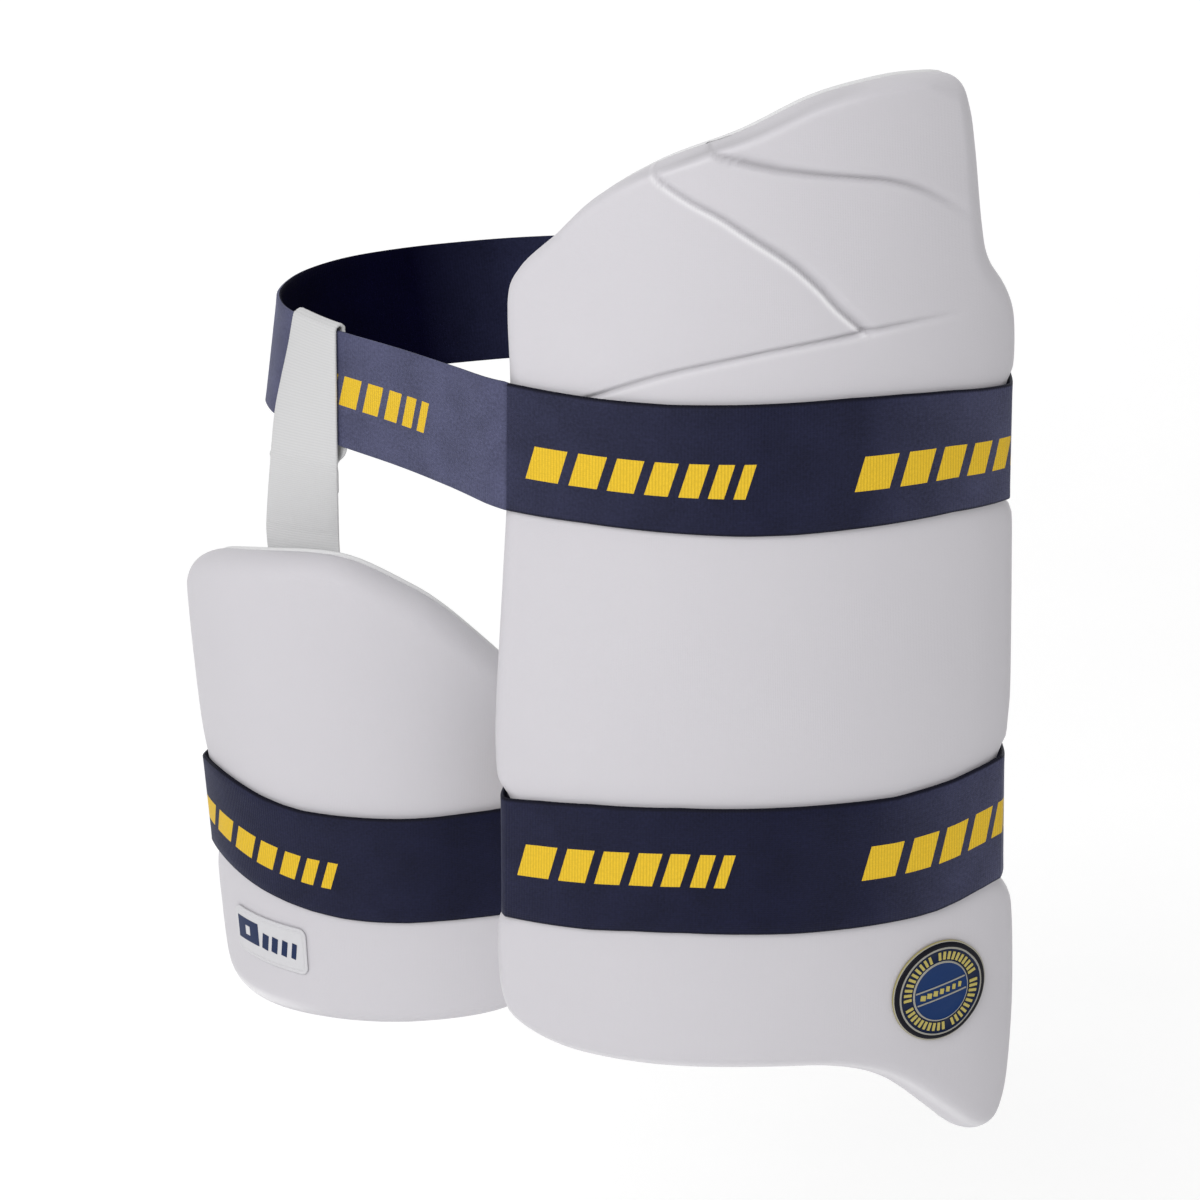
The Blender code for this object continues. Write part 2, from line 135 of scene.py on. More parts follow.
def smoothLine(points, step, closed=False):
    # Catmull-Rom through the points, and where each of them lies in the result
    knots = np.asarray(points, float)
    if closed:
        padded = np.vstack([knots[-1:], knots, knots[:2]])
    else:
        padded = np.vstack([2 * knots[:1] - knots[1:2], knots, 2 * knots[-1:] - knots[-2:-1]])
    line, marks = [padded[1]], [0]
    for before, start, end, after in zip(padded, padded[1:], padded[2:], padded[3:]):
        pieces = max(1, round(np.linalg.norm(end - start) / step))
        t = (np.arange(1, pieces + 1) / pieces)[:, None]
        line.extend(0.5 * (
            2 * start + (end - before) * t + (2 * before - 5 * start + 4 * end - after) * t ** 2
            + (3 * start - before - 3 * end + after) * t ** 3))
        marks.append(len(line) - 1)
    return np.array(line), marks


def lengthsOf(line):
    # how far along the line each of its points lies
    return np.concatenate([[0.0], np.cumsum(np.linalg.norm(np.diff(line, axis=0), axis=1))])


def pointsAt(line, fractions):
    lengths = lengthsOf(line)
    wanted = np.asarray(fractions) * lengths[-1]
    return np.stack([np.interp(wanted, lengths, values) for values in line.T], -1)


def unit(vectors):
    return vectors / np.linalg.norm(vectors, axis=-1, keepdims=True)


def lineDistance(spots, line):
    # distance to the line, which side of it, and the place along it
    flat = spots.reshape(-1, 2)
    best, side, place = np.full(len(flat), 1e9), np.ones(len(flat)), np.zeros(len(flat))
    for number, (start, end) in enumerate(zip(line[:-1], line[1:])):
        span = end - start
        t = np.clip((flat - start) @ span / max(span @ span, 1e-9), 0.0, 1.0)
        away = flat - start - t[:, None] * span
        distance = np.hypot(away[:, 0], away[:, 1])
        nearer = distance < best
        best[nearer] = distance[nearer]
        side[nearer] = np.where(span[0] * away[nearer, 1] > span[1] * away[nearer, 0], 1.0, -1.0)
        place[nearer] = number + t[nearer]
    shape = spots.shape[:2]
    return best.reshape(shape), side.reshape(shape), place.reshape(shape)


def depthInside(spots, outline):
    # the depth of each spot of a grid inside the outline that its rim lies on
    depth, _, _ = lineDistance(spots, outline)
    depth[[0, -1], :] = 0.0
    depth[:, [0, -1]] = 0.0
    return depth


def outlineOf(guard):
    sides = ("bottom", "right", "top", "left")
    loop = guard["bottom"] + guard["right"][1:] + guard["top"][::-1][1:] + guard["left"][::-1][1:-1]
    line, marks = smoothLine(loop, 2.0, closed=True)
    ends = np.cumsum([0] + [len(guard[side]) - 1 for side in sides])
    cuts = [marks[end] for end in ends]
    bottom, right, top, left = (line[a:b + 1] for a, b in zip(cuts, cuts[1:]))
    return {"bottom": bottom, "right": right, "top": top[::-1], "left": left[::-1], "whole": line}


def fillFractions(span, pitch, edgeSteps):
    # fine steps beside both edges, then even ones
    edge = np.array(edgeSteps) / span
    middle = np.linspace(edge[-1], 1 - edge[-1], max(2, round((span - 2 * edgeSteps[-1]) / pitch)) + 1)
    return np.concatenate([edge[:-1], middle, 1 - edge[:-1][::-1]])


def guardGrid(guard, columns, rows, margin=0.0):
    # spots that fill the outline, and their depth inside its edge
    edges = outlineOf(guard)
    bottom, top = pointsAt(edges["bottom"], columns)[None], pointsAt(edges["top"], columns)[None]
    left, right = pointsAt(edges["left"], rows)[:, None], pointsAt(edges["right"], rows)[:, None]
    s, t = columns[None, :, None], rows[:, None, None]
    corners = ((1 - s) * (1 - t) * bottom[0, 0] + s * (1 - t) * bottom[0, -1]
               + (1 - s) * t * top[0, 0] + s * t * top[0, -1])
    spots = (1 - t) * bottom + t * top + (1 - s) * left + s * right - corners
    depth = depthInside(spots, edges["whole"])
    low, high = edges["whole"].min(0), edges["whole"].max(0)
    spots = spots + (spots - (low + high) / 2) * margin / ((high - low) / 2)
    return spots, depth


def makePiece(name, points, faces, finishes, uvs=None, loopUvs=None, faceFinish=None):
    mesh = bpy.data.meshes.new(name)
    mesh.from_pydata(np.asarray(points).reshape(-1, 3).tolist(), [], faces)
    for finish in finishes:
        mesh.materials.append(finish)
    if faceFinish is not None:
        mesh.polygons.foreach_set("material_index", np.asarray(faceFinish, dtype=np.int32))
    if uvs is not None or loopUvs is not None:
        layer = mesh.uv_layers.new(name="surface")
        if loopUvs is None:
            corner = np.empty(len(mesh.loops), dtype=np.int32)
            mesh.loops.foreach_get("vertex_index", corner)
            loopUvs = np.asarray(uvs).reshape(-1, 2)[corner]
        layer.data.foreach_set("uv", np.asarray(loopUvs, dtype=np.float32).ravel())
    shape = bmesh.new()
    shape.from_mesh(mesh)
    bmesh.ops.recalc_face_normals(shape, faces=shape.faces)
    shape.to_mesh(mesh)
    shape.free()
    mesh.shade_smooth()
    made = bpy.data.objects.new(name, mesh)
    bpy.context.scene.collection.objects.link(made)
    return made


def gridFaces(index):
    # quads of a table of point numbers
    a, b = index[:-1, :-1].ravel(), index[:-1, 1:].ravel()
    c, d = index[1:, 1:].ravel(), index[1:, :-1].ravel()
    return np.stack([a, b, c, d], 1).tolist()


def shellPiece(name, guard, spots, frontOut, backOut, finishes, coarse=1):
    # a closed shell whose front and back share their edge; the back may have larger faces
    rows, columns = spots.shape[:2]
    front = placeOn(guard, spots[..., 0], spots[..., 1], frontOut)
    index = np.arange(rows * columns).reshape(rows, columns)
    points, uvs = [front.reshape(-1, 3)], [spots.reshape(-1, 2) * mm]
    keptRows = np.unique(np.append(np.arange(0, rows, coarse), rows - 1))
    keptColumns = np.unique(np.append(np.arange(0, columns, coarse), columns - 1))
    backIndex = index.copy()
    inside = np.ix_(keptRows[1:-1], keptColumns[1:-1])
    backSpots = spots[inside]
    backIndex[inside] = rows * columns + np.arange(backSpots[..., 0].size).reshape(backSpots.shape[:2])
    back = placeOn(guard, backSpots[..., 0], backSpots[..., 1], backOut[inside])
    points.append(back.reshape(-1, 3))
    uvs.append(backSpots.reshape(-1, 2) * mm)
    faces = gridFaces(index)
    frontCount = len(faces)
    for r0, r1 in zip(keptRows, keptRows[1:]):
        for c0, c1 in zip(keptColumns, keptColumns[1:]):
            bottom = range(c0, c1) if r0 == 0 else [c0]
            right = range(r0, r1) if c1 == columns - 1 else [r0]
            top = range(c1, c0, -1) if r1 == rows - 1 else [c1]
            left = range(r1, r0, -1) if c0 == 0 else [r1]
            ring = ([(r0, c) for c in bottom] + [(r, c1) for r in right]
                    + [(r1, c) for c in top] + [(r, c0) for r in left])
            faces.append([int(backIndex[spot]) for spot in reversed(ring)])
    slots = [0] * frontCount + [len(finishes) - 1] * (len(faces) - frontCount)
    return makePiece(name, np.vstack(points), faces, finishes, np.vstack(uvs), faceFinish=slots)


def roundProfile(depth, reach):
    # 0 at an edge and 1 from the reach on, along a quarter circle
    return np.sqrt(1.0 - (1.0 - np.clip(depth / reach, 0.0, 1.0)) ** 2)


def smoothStep(t):
    t = np.clip(t, 0.0, 1.0)
    return t * t * (3.0 - 2.0 * t)


def fade(values, start, reach):
    # 0 at the start and 1 a reach past it; a reach below 0 runs the other way
    return smoothStep((values - start) / reach)


# finishes
def addNode(tree, kind, inputs=None, **settings):
    made = tree.nodes.new(kind)
    for key, value in settings.items():
        setattr(made, key, value)
    for key, value in (inputs or {}).items():
        if isinstance(value, bpy.types.NodeSocket):
            tree.links.new(value, made.inputs[key])
        else:
            made.inputs[key].default_value = value
    return made


def newFinish(name, colour, **values):
    made = bpy.data.materials.new(name)
    made.use_nodes = True
    shader = made.node_tree.nodes["Principled BSDF"]
    shader.inputs["Base Color"].default_value = (*colour, 1.0)
    for key, value in values.items():
        shader.inputs[key].default_value = value
    made.diffuse_color = (*colour, 1.0)
    return made, made.node_tree, shader


def outputOf(tree, kind, inputs=None, **settings):
    return addNode(tree, kind, inputs, **settings).outputs[0]


def calc(tree, operation, first, second=0.0, third=0.0):
    return outputOf(tree, "ShaderNodeMath", {0: first, 1: second, 2: third}, operation=operation)


def weighted(tree, first, share, second, rest):
    return calc(tree, "MULTIPLY_ADD", first, share, calc(tree, "MULTIPLY", second, rest))


def noise(tree, place, scale, detail):
    return outputOf(tree, "ShaderNodeTexNoise", {"Vector": place, "Scale": scale, "Detail": detail})


def ranged(tree, value, low, high, first=0.0, last=1.0):
    return outputOf(tree, "ShaderNodeMapRange", {0: value, 1: low, 2: high, 3: first, 4: last})


def rampOf(tree, factor, spots, stepped=False):
    # a grey ramp through places and their amounts, in order
    ramp = addNode(tree, "ShaderNodeValToRGB", {0: factor})
    stops = ramp.color_ramp
    if stepped:
        stops.interpolation = "CONSTANT"
    for stop, (place, amount) in zip(stops.elements, (spots[0], spots[-1])):
        stop.position, stop.color = place, (amount, amount, amount, 1)
    for place, amount in spots[1:-1]:
        stops.elements.new(place).color = (amount, amount, amount, 1)
    return ramp.outputs[0]


def surfacePlace(tree):
    # the piece's own UV map in millimetres, along and across
    uv = outputOf(tree, "ShaderNodeUVMap", uv_map="surface")
    place = outputOf(tree, "ShaderNodeVectorMath", {0: uv, "Scale": 1.0 / mm}, operation="SCALE")
    parts = addNode(tree, "ShaderNodeSeparateXYZ", {0: place})
    return place, parts.outputs[0], parts.outputs[1]


def thread(tree, distance, pitch):
    # a rounded thread every pitch: 0 between threads and 1 on top
    return calc(tree, "ABSOLUTE", calc(tree, "SINE", calc(tree, "MULTIPLY", distance, math.pi / pitch)))


def setBump(tree, shader, height, distance):
    bump = outputOf(tree, "ShaderNodeBump", {"Height": height, "Distance": distance, "Strength": 1.0})
    tree.links.new(bump, shader.inputs["Normal"])


def mixColour(tree, factor, first, second):
    made = addNode(tree, "ShaderNodeMix", {0: factor}, data_type="RGBA")
    for socket, value in ((6, first), (7, second)):
        if isinstance(value, bpy.types.NodeSocket):
            tree.links.new(value, made.inputs[socket])
        else:
            made.inputs[socket].default_value = (*value, 1.0)
    return made.outputs[2]


coverCloth = {
    "light": (0.575, 0.560, 0.590),
    "shaded": (0.540, 0.524, 0.556),
    "roughness": 0.62,
    "threadPitch": 0.55,
    "grain": 0.035,
    # how dark the painted shade in a crease is, and the colour of the painted highlight on an edge
    "creaseShade": 0.34,
    "lit": (0.82, 0.81, 0.83),
}
backingCloth = {
    "light": (0.72, 0.72, 0.72),
    "shaded": (0.66, 0.66, 0.67),
    "roughness": 0.8,
    "threadPitch": 0.9,
    "grain": 0.09,
}


def makeClothFinish(name, look):
    made, tree, shader = newFinish(
        name, look["light"], **{"Roughness": look["roughness"], "Sheen Weight": 0.12,
                                "Sheen Roughness": 0.5, "Specular IOR Level": 0.35})
    place, along, across = surfacePlace(tree)
    cloud, fibres = noise(tree, place, 0.02, 3.0), noise(tree, place, 1.6, 2.0)
    colour = mixColour(tree, weighted(tree, fibres, 0.35, cloud, 0.65), look["shaded"], look["light"])
    # painted shade in creases and painted highlights on edges, read from the crease attribute
    if "creaseShade" in look:
        crease = addNode(tree, "ShaderNodeAttribute", attribute_name="crease").outputs["Fac"]
        colour = mixColour(tree, calc(tree, "MULTIPLY", crease, look["creaseShade"]), colour,
                           [c * 0.3 for c in look["shaded"]])
        colour = mixColour(tree, calc(tree, "MULTIPLY", crease, -1.0), colour, look["lit"])
    tree.links.new(colour, shader.inputs["Base Color"])
    warp, weft = thread(tree, along, look["threadPitch"]), thread(tree, across, look["threadPitch"])
    weave = calc(tree, "MULTIPLY_ADD", warp, weft, calc(tree, "MULTIPLY", fibres, 0.8))
    setBump(tree, shader, weave, look["grain"] * mm)
    return made


coverFinish = makeClothFinish("paleCover", coverCloth)
backingFinish = makeClothFinish("whiteBacking", backingCloth)
print("stage: cloth finishes made")

padEdgeSteps = (0.0, 0.12, 0.45, 1.0, 1.8, 2.8, 4.0, 5.4, 7.0, 8.6)
padBackRoll = 1.6

# outer pad: three hip panels marked off by moulded channels, and a lip along the top edge
# a channel's spot has its depth, and how wide its upper and its lower wall are
# a fade has its start and its reach, which is below 0 where it runs to the left or down
outerPadLook = {
    "span": (180.0, 385.0),
    "columnPitch": 0.72,
    "rowPitch": 0.66,
    # the rows' pitch below a share of the height, where the pad is plain
    "plainPitch": 2.6,
    "fineFrom": 0.64,
    "panelCrown": 0.5,
    "crownReach": 12.0,
    "crownDepth": 3.0,
    # the roll of the edge at the sides, along the top and down the right of the wing
    "rolls": (9.0, 3.4, 11.0),
    "topBetween": (48, 82),
    "wingFades": ((58.0, 18.0), (30.0, 30.0)),
    # where the painted highlight along the rolled edge lies, how deep in the edge, its reach and its strength
    "paleBelow": (-205.0, -25.0),
    "paleLeftOf": (200.0, -40.0),
    "paleRightOf": (90.0, 8.0),
    "rimPlace": 3.4,
    "rimReach": 1.4,
    "rimShare": 0.45,
    # the depth at which a channel's painted shade is darkest, and the reach of that painted shade above and
    # below its line
    "darkDepth": 1.8,
    "darkAbove": 0.5,
    "darkWallShare": 0.2,
    "darkBelow": 0.7,
    # how far below its wall the painted highlight on a channel's edge lies, and its reach
    "edgePlace": 0.4,
    "edgeReach": 0.9,
    # how strong the painted highlight on the edge below each channel is
    "paleWalls": {"leftPanel": 0.8, "topPanel": 0.05, "body": 0.2, "topLip": 0.25},
    "channels": {
        "leftPanel": [
            (-30, 104.5, 0.8, 1.5, 1.0), (-26.4, 100.3, 1.2, 1.8, 1.0), (-17.4, 94, 1.4, 2.2, 1.0),
            (-8, 88.5, 1.6, 2.6, 1.0), (1.3, 81.8, 1.8, 3.2, 1.1), (10.9, 74.9, 2.0, 3.8, 1.1),
            (16.7, 70, 2.0, 4.0, 1.1), (23.5, 62.9, 2.0, 4.2, 1.1), (29.5, 55.6, 2.0, 4.2, 1.1),
            (37.6, 47.5, 1.8, 4.4, 1.0),
        ],
        "topPanel": [
            (-13.5, 112.4, 1.5, 2.0, 1.4), (-9.3, 109.7, 2.2, 3.4, 1.5), (-0.9, 107.2, 2.5, 4.2, 1.5),
            (6.6, 105.4, 2.4, 4.0, 1.5), (12.4, 104.3, 2.2, 3.2, 1.5), (25.9, 102.4, 1.9, 2.4, 1.5),
            (35.9, 101.1, 1.8, 2.2, 1.5), (46.2, 99.3, 1.7, 2.4, 1.5), (55.9, 96, 1.5, 2.8, 1.8),
            (63.9, 91.9, 1.0, 3.2, 2.2), (72.3, 86.7, 0.4, 3.4, 3.0), (79, 81, 0.0, 3.4, 3.0),
        ],
        "body": [
            (-92, -4, 1.1, 1.4, 1.3), (-74, 9, 1.3, 1.4, 1.3), (-60, 17, 1.4, 1.4, 1.3),
            (-46.5, 23.4, 1.5, 1.5, 1.4), (-32.8, 29.6, 1.5, 1.5, 1.4), (-20.4, 34.2, 1.5, 1.5, 1.4),
            (-5.5, 38.4, 1.5, 1.5, 1.4), (7.6, 41.6, 1.5, 1.5, 1.4), (21.9, 44.3, 1.6, 1.7, 1.5),
            (30.7, 45.7, 1.8, 2.0, 1.6), (36.6, 46.7, 1.8, 2.0, 1.6), (44.8, 47.9, 1.4, 1.8, 1.5),
            (55.5, 49.1, 0.9, 1.8, 1.5), (69.2, 50.2, 0.3, 1.8, 1.8), (76, 50.5, 0.0, 1.8, 1.8),
        ],
        "topLip": [
            (-44, 96, 0.0, 3.0, 1.0), (-34, 101.5, 0.6, 3.0, 1.0), (-26, 104.8, 1.2, 3.0, 1.0),
            (-19.5, 107.6, 1.6, 3.0, 1.0), (-13, 110.4, 1.6, 3.0, 1.0), (-6.6, 113, 1.4, 3.0, 1.0),
            (0.8, 116, 1.3, 3.0, 1.0), (6.4, 118.6, 1.2, 3.0, 1.0), (14, 122.4, 1.1, 3.0, 1.0),
            (21.6, 126, 0.9, 3.0, 1.1), (31, 129.2, 0.6, 3.0, 1.3), (41, 131.6, 0.0, 3.0, 1.6),
        ],
    },
}


def paleRim(spots, depth, look):
    # the painted highlight on the rolled edge: along the bottom up to one place, and to the right of another
    across, height = spots[..., 0], spots[..., 1]
    low = fade(height, *look["paleBelow"]) * fade(across, *look["paleLeftOf"])
    band = np.exp(-((depth - look["rimPlace"]) / look["rimReach"]) ** 2)
    return look["rimShare"] * band * np.maximum(low, fade(across, *look["paleRightOf"]))


def markCrease(made, shade):
    # above 0 where shade is painted in a crease and below 0 where a highlight is painted on an edge
    crease = made.data.attributes.new("crease", "FLOAT", "POINT")
    values = np.zeros(len(made.data.vertices), dtype=np.float32)
    values[:shade.size] = shade.ravel()
    crease.data.foreach_set("value", values)


def padPiece(name, guard, spots, depth, out, shade, coarse):
    rim = guard["rim"]
    back = padBase + (rim - padBase) * (1 - roundProfile(depth, padBackRoll))
    made = shellPiece(name, guard, spots, out, back, [coverFinish], coarse)
    markCrease(made, shade)
    return made


def makeOuterPad(look):
    width, tall = look["span"]
    fineFrom = look["fineFrom"]
    columns = fillFractions(width, look["columnPitch"], padEdgeSteps)
    rows = fillFractions(tall, look["rowPitch"], padEdgeSteps)
    low = rows[rows < padEdgeSteps[-1] / tall]
    count = round((fineFrom - low[-1]) * tall / look["plainPitch"])
    rows = np.concatenate([low, np.linspace(low[-1], fineFrom, count + 1)[1:], rows[rows > fineFrom]])
    spots, depth = guardGrid(outerGuard, columns, rows)
    across, height = spots[..., 0], spots[..., 1]
    roll = np.interp(height, look["topBetween"], look["rolls"][:2])
    wing = fade(across, *look["wingFades"][0]) * fade(height, *look["wingFades"][1])
    roll = roll + (look["rolls"][2] - roll) * wing
    rim = outerGuard["rim"]
    out = rim + (outerGuard["thickness"] - rim) * roundProfile(depth, roll)
    # dark: painted shade in the channels; pale: painted highlights along the rolled edge and below each
    # channel
    dark, pale = np.zeros_like(out), paleRim(spots, depth, look)
    for name, table in look["channels"].items():
        table = np.array(table, float)
        line, marks = smoothLine(table[:, :2], 1.5)
        away, side, place = lineDistance(spots, line)
        cut, upper, lower = (np.interp(place, marks, table[:, k]) for k in (2, 3, 4))
        above = side > 0
        out = out - cut * np.where(above, (1.0 - np.clip(away / upper, 0.0, 1.0)) ** 1.5,
                                   1.0 - smoothStep(away / lower))
        strong = np.clip(cut / look["darkDepth"], 0.0, 1.0)
        # a painted highlight just below the channel's lower wall
        edge = np.exp(-((away - lower - look["edgePlace"]) / look["edgeReach"]) ** 2)
        pale = np.maximum(pale, strong * look["paleWalls"][name] * edge * (side < 0))
        reach = np.where(above, look["darkAbove"] + upper * look["darkWallShare"], look["darkBelow"])
        dark = np.maximum(dark, strong * np.exp(-(away / reach) ** 2))
        if name != "topLip":
            fall = 1.0 - smoothStep(away / look["crownReach"])
            out = out - look["panelCrown"] * fall ** 2 * np.clip(cut / look["crownDepth"], 0.0, 1.0)
    return padPiece("outerPad", outerGuard, spots, depth, out, dark - pale, 5)


outerPad = makeOuterPad(outerPadLook)
print("stage: outer pad made")

innerPadLook = {
    "span": (160.0, 150.0),
    "pitch": 1.6,
    # where the painted highlight along the rolled edge lies, how deep in the edge, its reach and its strength
    "paleBelow": (-225.0, -25.0),
    "paleLeftOf": (-35.0, -40.0),
    "paleRightOf": (200.0, 8.0),
    "rimPlace": 6.0,
    "rimReach": 2.2,
    "rimShare": 0.9,
}


def makeInnerPad(look):
    columns, rows = (fillFractions(span, look["pitch"], padEdgeSteps) for span in look["span"])
    spots, depth = guardGrid(innerGuard, columns, rows)
    rim = innerGuard["rim"]
    out = rim + (innerGuard["thickness"] - rim) * roundProfile(depth, innerGuard["roll"])
    # the painted highlight along the rolled edge, given as a negative shade
    return padPiece("innerPad", innerGuard, spots, depth, out, -paleRim(spots, depth, look), 4)


innerPad = makeInnerPad(innerPadLook)
print("stage: inner pad made")

liningLook = {
    "margin": 0.2,
    "pitch": 3.0,
    "edgeSteps": (0.0, 0.1, 0.35, 0.8, 1.6, 3.0),
    "spans": {"outerLining": (180.0, 360.0), "innerLining": (160.0, 150.0)},
}


def makeLining(name, guard, look):
    columns, rows = (fillFractions(span, look["pitch"], look["edgeSteps"]) for span in look["spans"][name])
    spots, depth = guardGrid(guard, columns, rows, look["margin"])
    half = liningThickness / 2
    swell = half * roundProfile(depth, half)
    return shellPiece(name, guard, spots, half + swell, half - swell, [backingFinish])


outerLining = makeLining("outerLining", outerGuard, liningLook)
innerLining = makeLining("innerLining", innerGuard, liningLook)
print("stage: linings made")


# straps: flat elastic, one closed loop each
def makeRibbon(name, centre, outward, half, place, finishes, closed):
    # centre and outward: rows by columns of points and unit vectors; half: half the thickness
    rows, columns = centre.shape[:2]
    rise = outward * half[..., None] * mm
    top, bottom = centre + rise, (centre - rise)[:, 1:-1]
    topIndex = np.arange(rows * columns).reshape(rows, columns)
    bottomIndex = topIndex.copy()
    bottomIndex[:, 1:-1] = rows * columns + np.arange(bottom[..., 0].size).reshape(rows, columns - 2)
    if closed:
        topIndex, bottomIndex = (np.vstack([t, t[:1]]) for t in (topIndex, bottomIndex))
    corners = np.stack([place[:-1, :-1], place[:-1, 1:], place[1:, 1:], place[1:, :-1]], 2).reshape(-1, 2)
    faces, slots = gridFaces(topIndex) + gridFaces(bottomIndex), [0, len(finishes) - 1]
    slots, loopUvs = np.repeat(slots, len(faces) // 2).tolist(), [corners, corners]
    if not closed:
        for row in (0, rows - 1):
            for column in range(columns - 1):
                ring = [topIndex[row, column], topIndex[row, column + 1],
                        bottomIndex[row, column + 1], bottomIndex[row, column]]
                ring = list(dict.fromkeys(int(corner) for corner in ring))
                faces.append(ring)
                slots.append(0)
                loopUvs.append(np.repeat(place[row, column][None], len(ring), 0))
    points = np.vstack([top.reshape(-1, 3), bottom.reshape(-1, 3)])
    return makePiece(name, points, faces, finishes, loopUvs=np.vstack(loopUvs), faceFinish=slots)


def outwardOf(grid, closed, away):
    # unit normals of a grid of points, on the side that points away from a place
    along = np.roll(grid, -1, 0) - np.roll(grid, 1, 0) if closed else np.gradient(grid, axis=0)
    normals = unit(np.cross(along, np.gradient(grid, axis=1)))
    return normals * np.sign(((grid - away) * normals)[..., :2].sum(-1).mean())


def ribbonProfile(width, thickness, count, margin):
    # a ribbon's columns across, and half its thickness at each; its edges are round
    radius = thickness / 2
    flat = np.linspace(-1, 1, count)[1:-1] * (width / 2 - margin)
    rounded, thin = width / 2 - radius + radius * np.sin(edgeAngles), radius * np.cos(edgeAngles)
    return (np.concatenate([-rounded, flat, rounded[::-1]]),
            np.concatenate([thin, np.full(len(flat), radius), thin[::-1]]))


def ribbonPlace(centre, columns):
    # each point's place along and across the ribbon, in metres
    middle = centre[:, len(columns) // 2]
    return np.stack(np.broadcast_arrays(lengthsOf(middle)[:, None], columns[None] * mm), -1)


strapWidth = 47.5
strapThickness = 1.8
edgeAngles = np.radians([90, 65, 40, 15])

# a table of an edge gives its height at places across the guard, or at shares of the way round the back
# a table of painted light gives an amount at lengths from the strap's left end
waistStrapLook = {
    "guard": outerGuard,
    "first": -77, "last": 91,
    "topEdge": [(-90, 24.0), (-72, 23.6), (-45, 22.8), (-23, 22.6), (-1, 23.2), (33, 24.3), (50, 23.9),
                (68, 22.7), (92, 19.8)],
    "bottomEdge": [(-90, -24), (-50, -23.6), (-16, -24.6), (0, -25), (16, -24.8), (34, -24), (69, -22.8),
                   (92, -23.6)],
    "loopTop": [(0, 19.8), (0.04, 19.8), (0.12, 23.4), (0.9, 23.7), (1, 24)],
    "loopBottom": [(0, -23.6), (0.1, -23.8), (0.66, -23.8), (0.73, -20), (0.76, -18.6), (0.8, -19),
                   (0.85, -21.4), (0.9, -22.1), (0.95, -22.6), (1, -24)],
    # x, y and how far the top edge leans out, from the right end of the front round the back
    "turns": [
        (130.4, -62, 0), (130.6, -24, 0), (129, 14, 4), (120, 48, 8), (96, 79, 12), (60, 103, 16),
        (20, 115, 18), (-18, 118, 19), (-46, 115, 18), (-72, 107, 17), (-97, 96, 15), (-119, 82, 10),
        (-136, 61, 3), (-145, 35, -5), (-142, 11, -6), (-131, -8, -4), (-115, -27.5, -1),
        (-91, -51.8, 0), (-70, -76.2, 0), (-57.5, -91.3, 0),
    ],
    "length": 831.8,
    # where the pattern of bars starts and how far above the middle it is, in front and behind;
    # where one takes over from the other, where bars end, and the length after which they repeat
    "barStarts": (10.0, 704.0),
    "barLifts": (-3.7, 0.0),
    "barsEnd": 800.0,
    "barSwitch": 457.0,
    # painted shade along the edges holds up to the first length and fades out by the second
    "darkEdge": (300.0, 500.0),
    "repeat": 119.5,
    # how far painted sheen lightens the elastic, at lengths from its left end
    "stretch": [(0, 0.33), (3, 0.30), (45, 0.17), (95, 0.05), (130, 0.1), (172, 0.5), (200, 0.9), (829, 1.0),
                (831, 0.35)],
    "insideLight": [(0, 0.5), (440, 1.0), (520, 0.9), (550, 0.4), (575, 0.0), (830, 0.0)],
}
outerStrapLook = {
    "guard": outerGuard,
    "first": -77, "last": 89,
    "topEdge": [(-90, -138), (-76, -136.2), (-65, -134.2), (-47, -131.8), (-19, -129.7), (10, -129.3),
                (28, -129.2), (50, -129.4), (71, -127), (80, -125.1), (90, -123.4)],
    "bottomEdge": [(-90, -187), (-76, -184.9), (-47, -182.6), (-33, -180.8), (-16, -179.8), (3, -179.9),
                   (17, -180.2), (40, -180.1), (56, -179.8), (65, -179.1), (74, -177.2), (80, -175.5),
                   (86, -174.3), (93, -173.8)],
    "loopTop": [(0, -123.6), (0.12, -129.6), (0.88, -139.4), (0.97, -137.4), (1, -136.4)],
    "loopBottom": [(0, -174.1), (0.12, -175.5), (0.88, -185.6), (1, -185.1)],
    "turns": [
        (134.8, -68, -2), (134.2, -32, -1), (123, -8, 0), (100, 4, 0), (72, 0, 0), (44, -12, 0),
        (14, -25, 0), (-15, -38, 0), (-38, -53, 0), (-49, -71, 0), (-52.4, -88, 0),
    ],
    "length": 516.1,
    "barStarts": (7.5, 523.6),
    "barLifts": (0.5, 0.5),
    "barsEnd": 516.1,
    "barSwitch": 370.0,
    "darkEdge": (600.0, 700.0),
    "repeat": 131.5,
    # painted sheen: how far the elastic is lightened, at lengths from its left end
    "stretch": [(0, 0.12), (40, 0.06), (105, 0.0), (140, 0.05), (178, 0.45), (205, 0.8), (516, 0.12)],
    "insideLight": [(0, 0.3), (516, 0.3)],
}
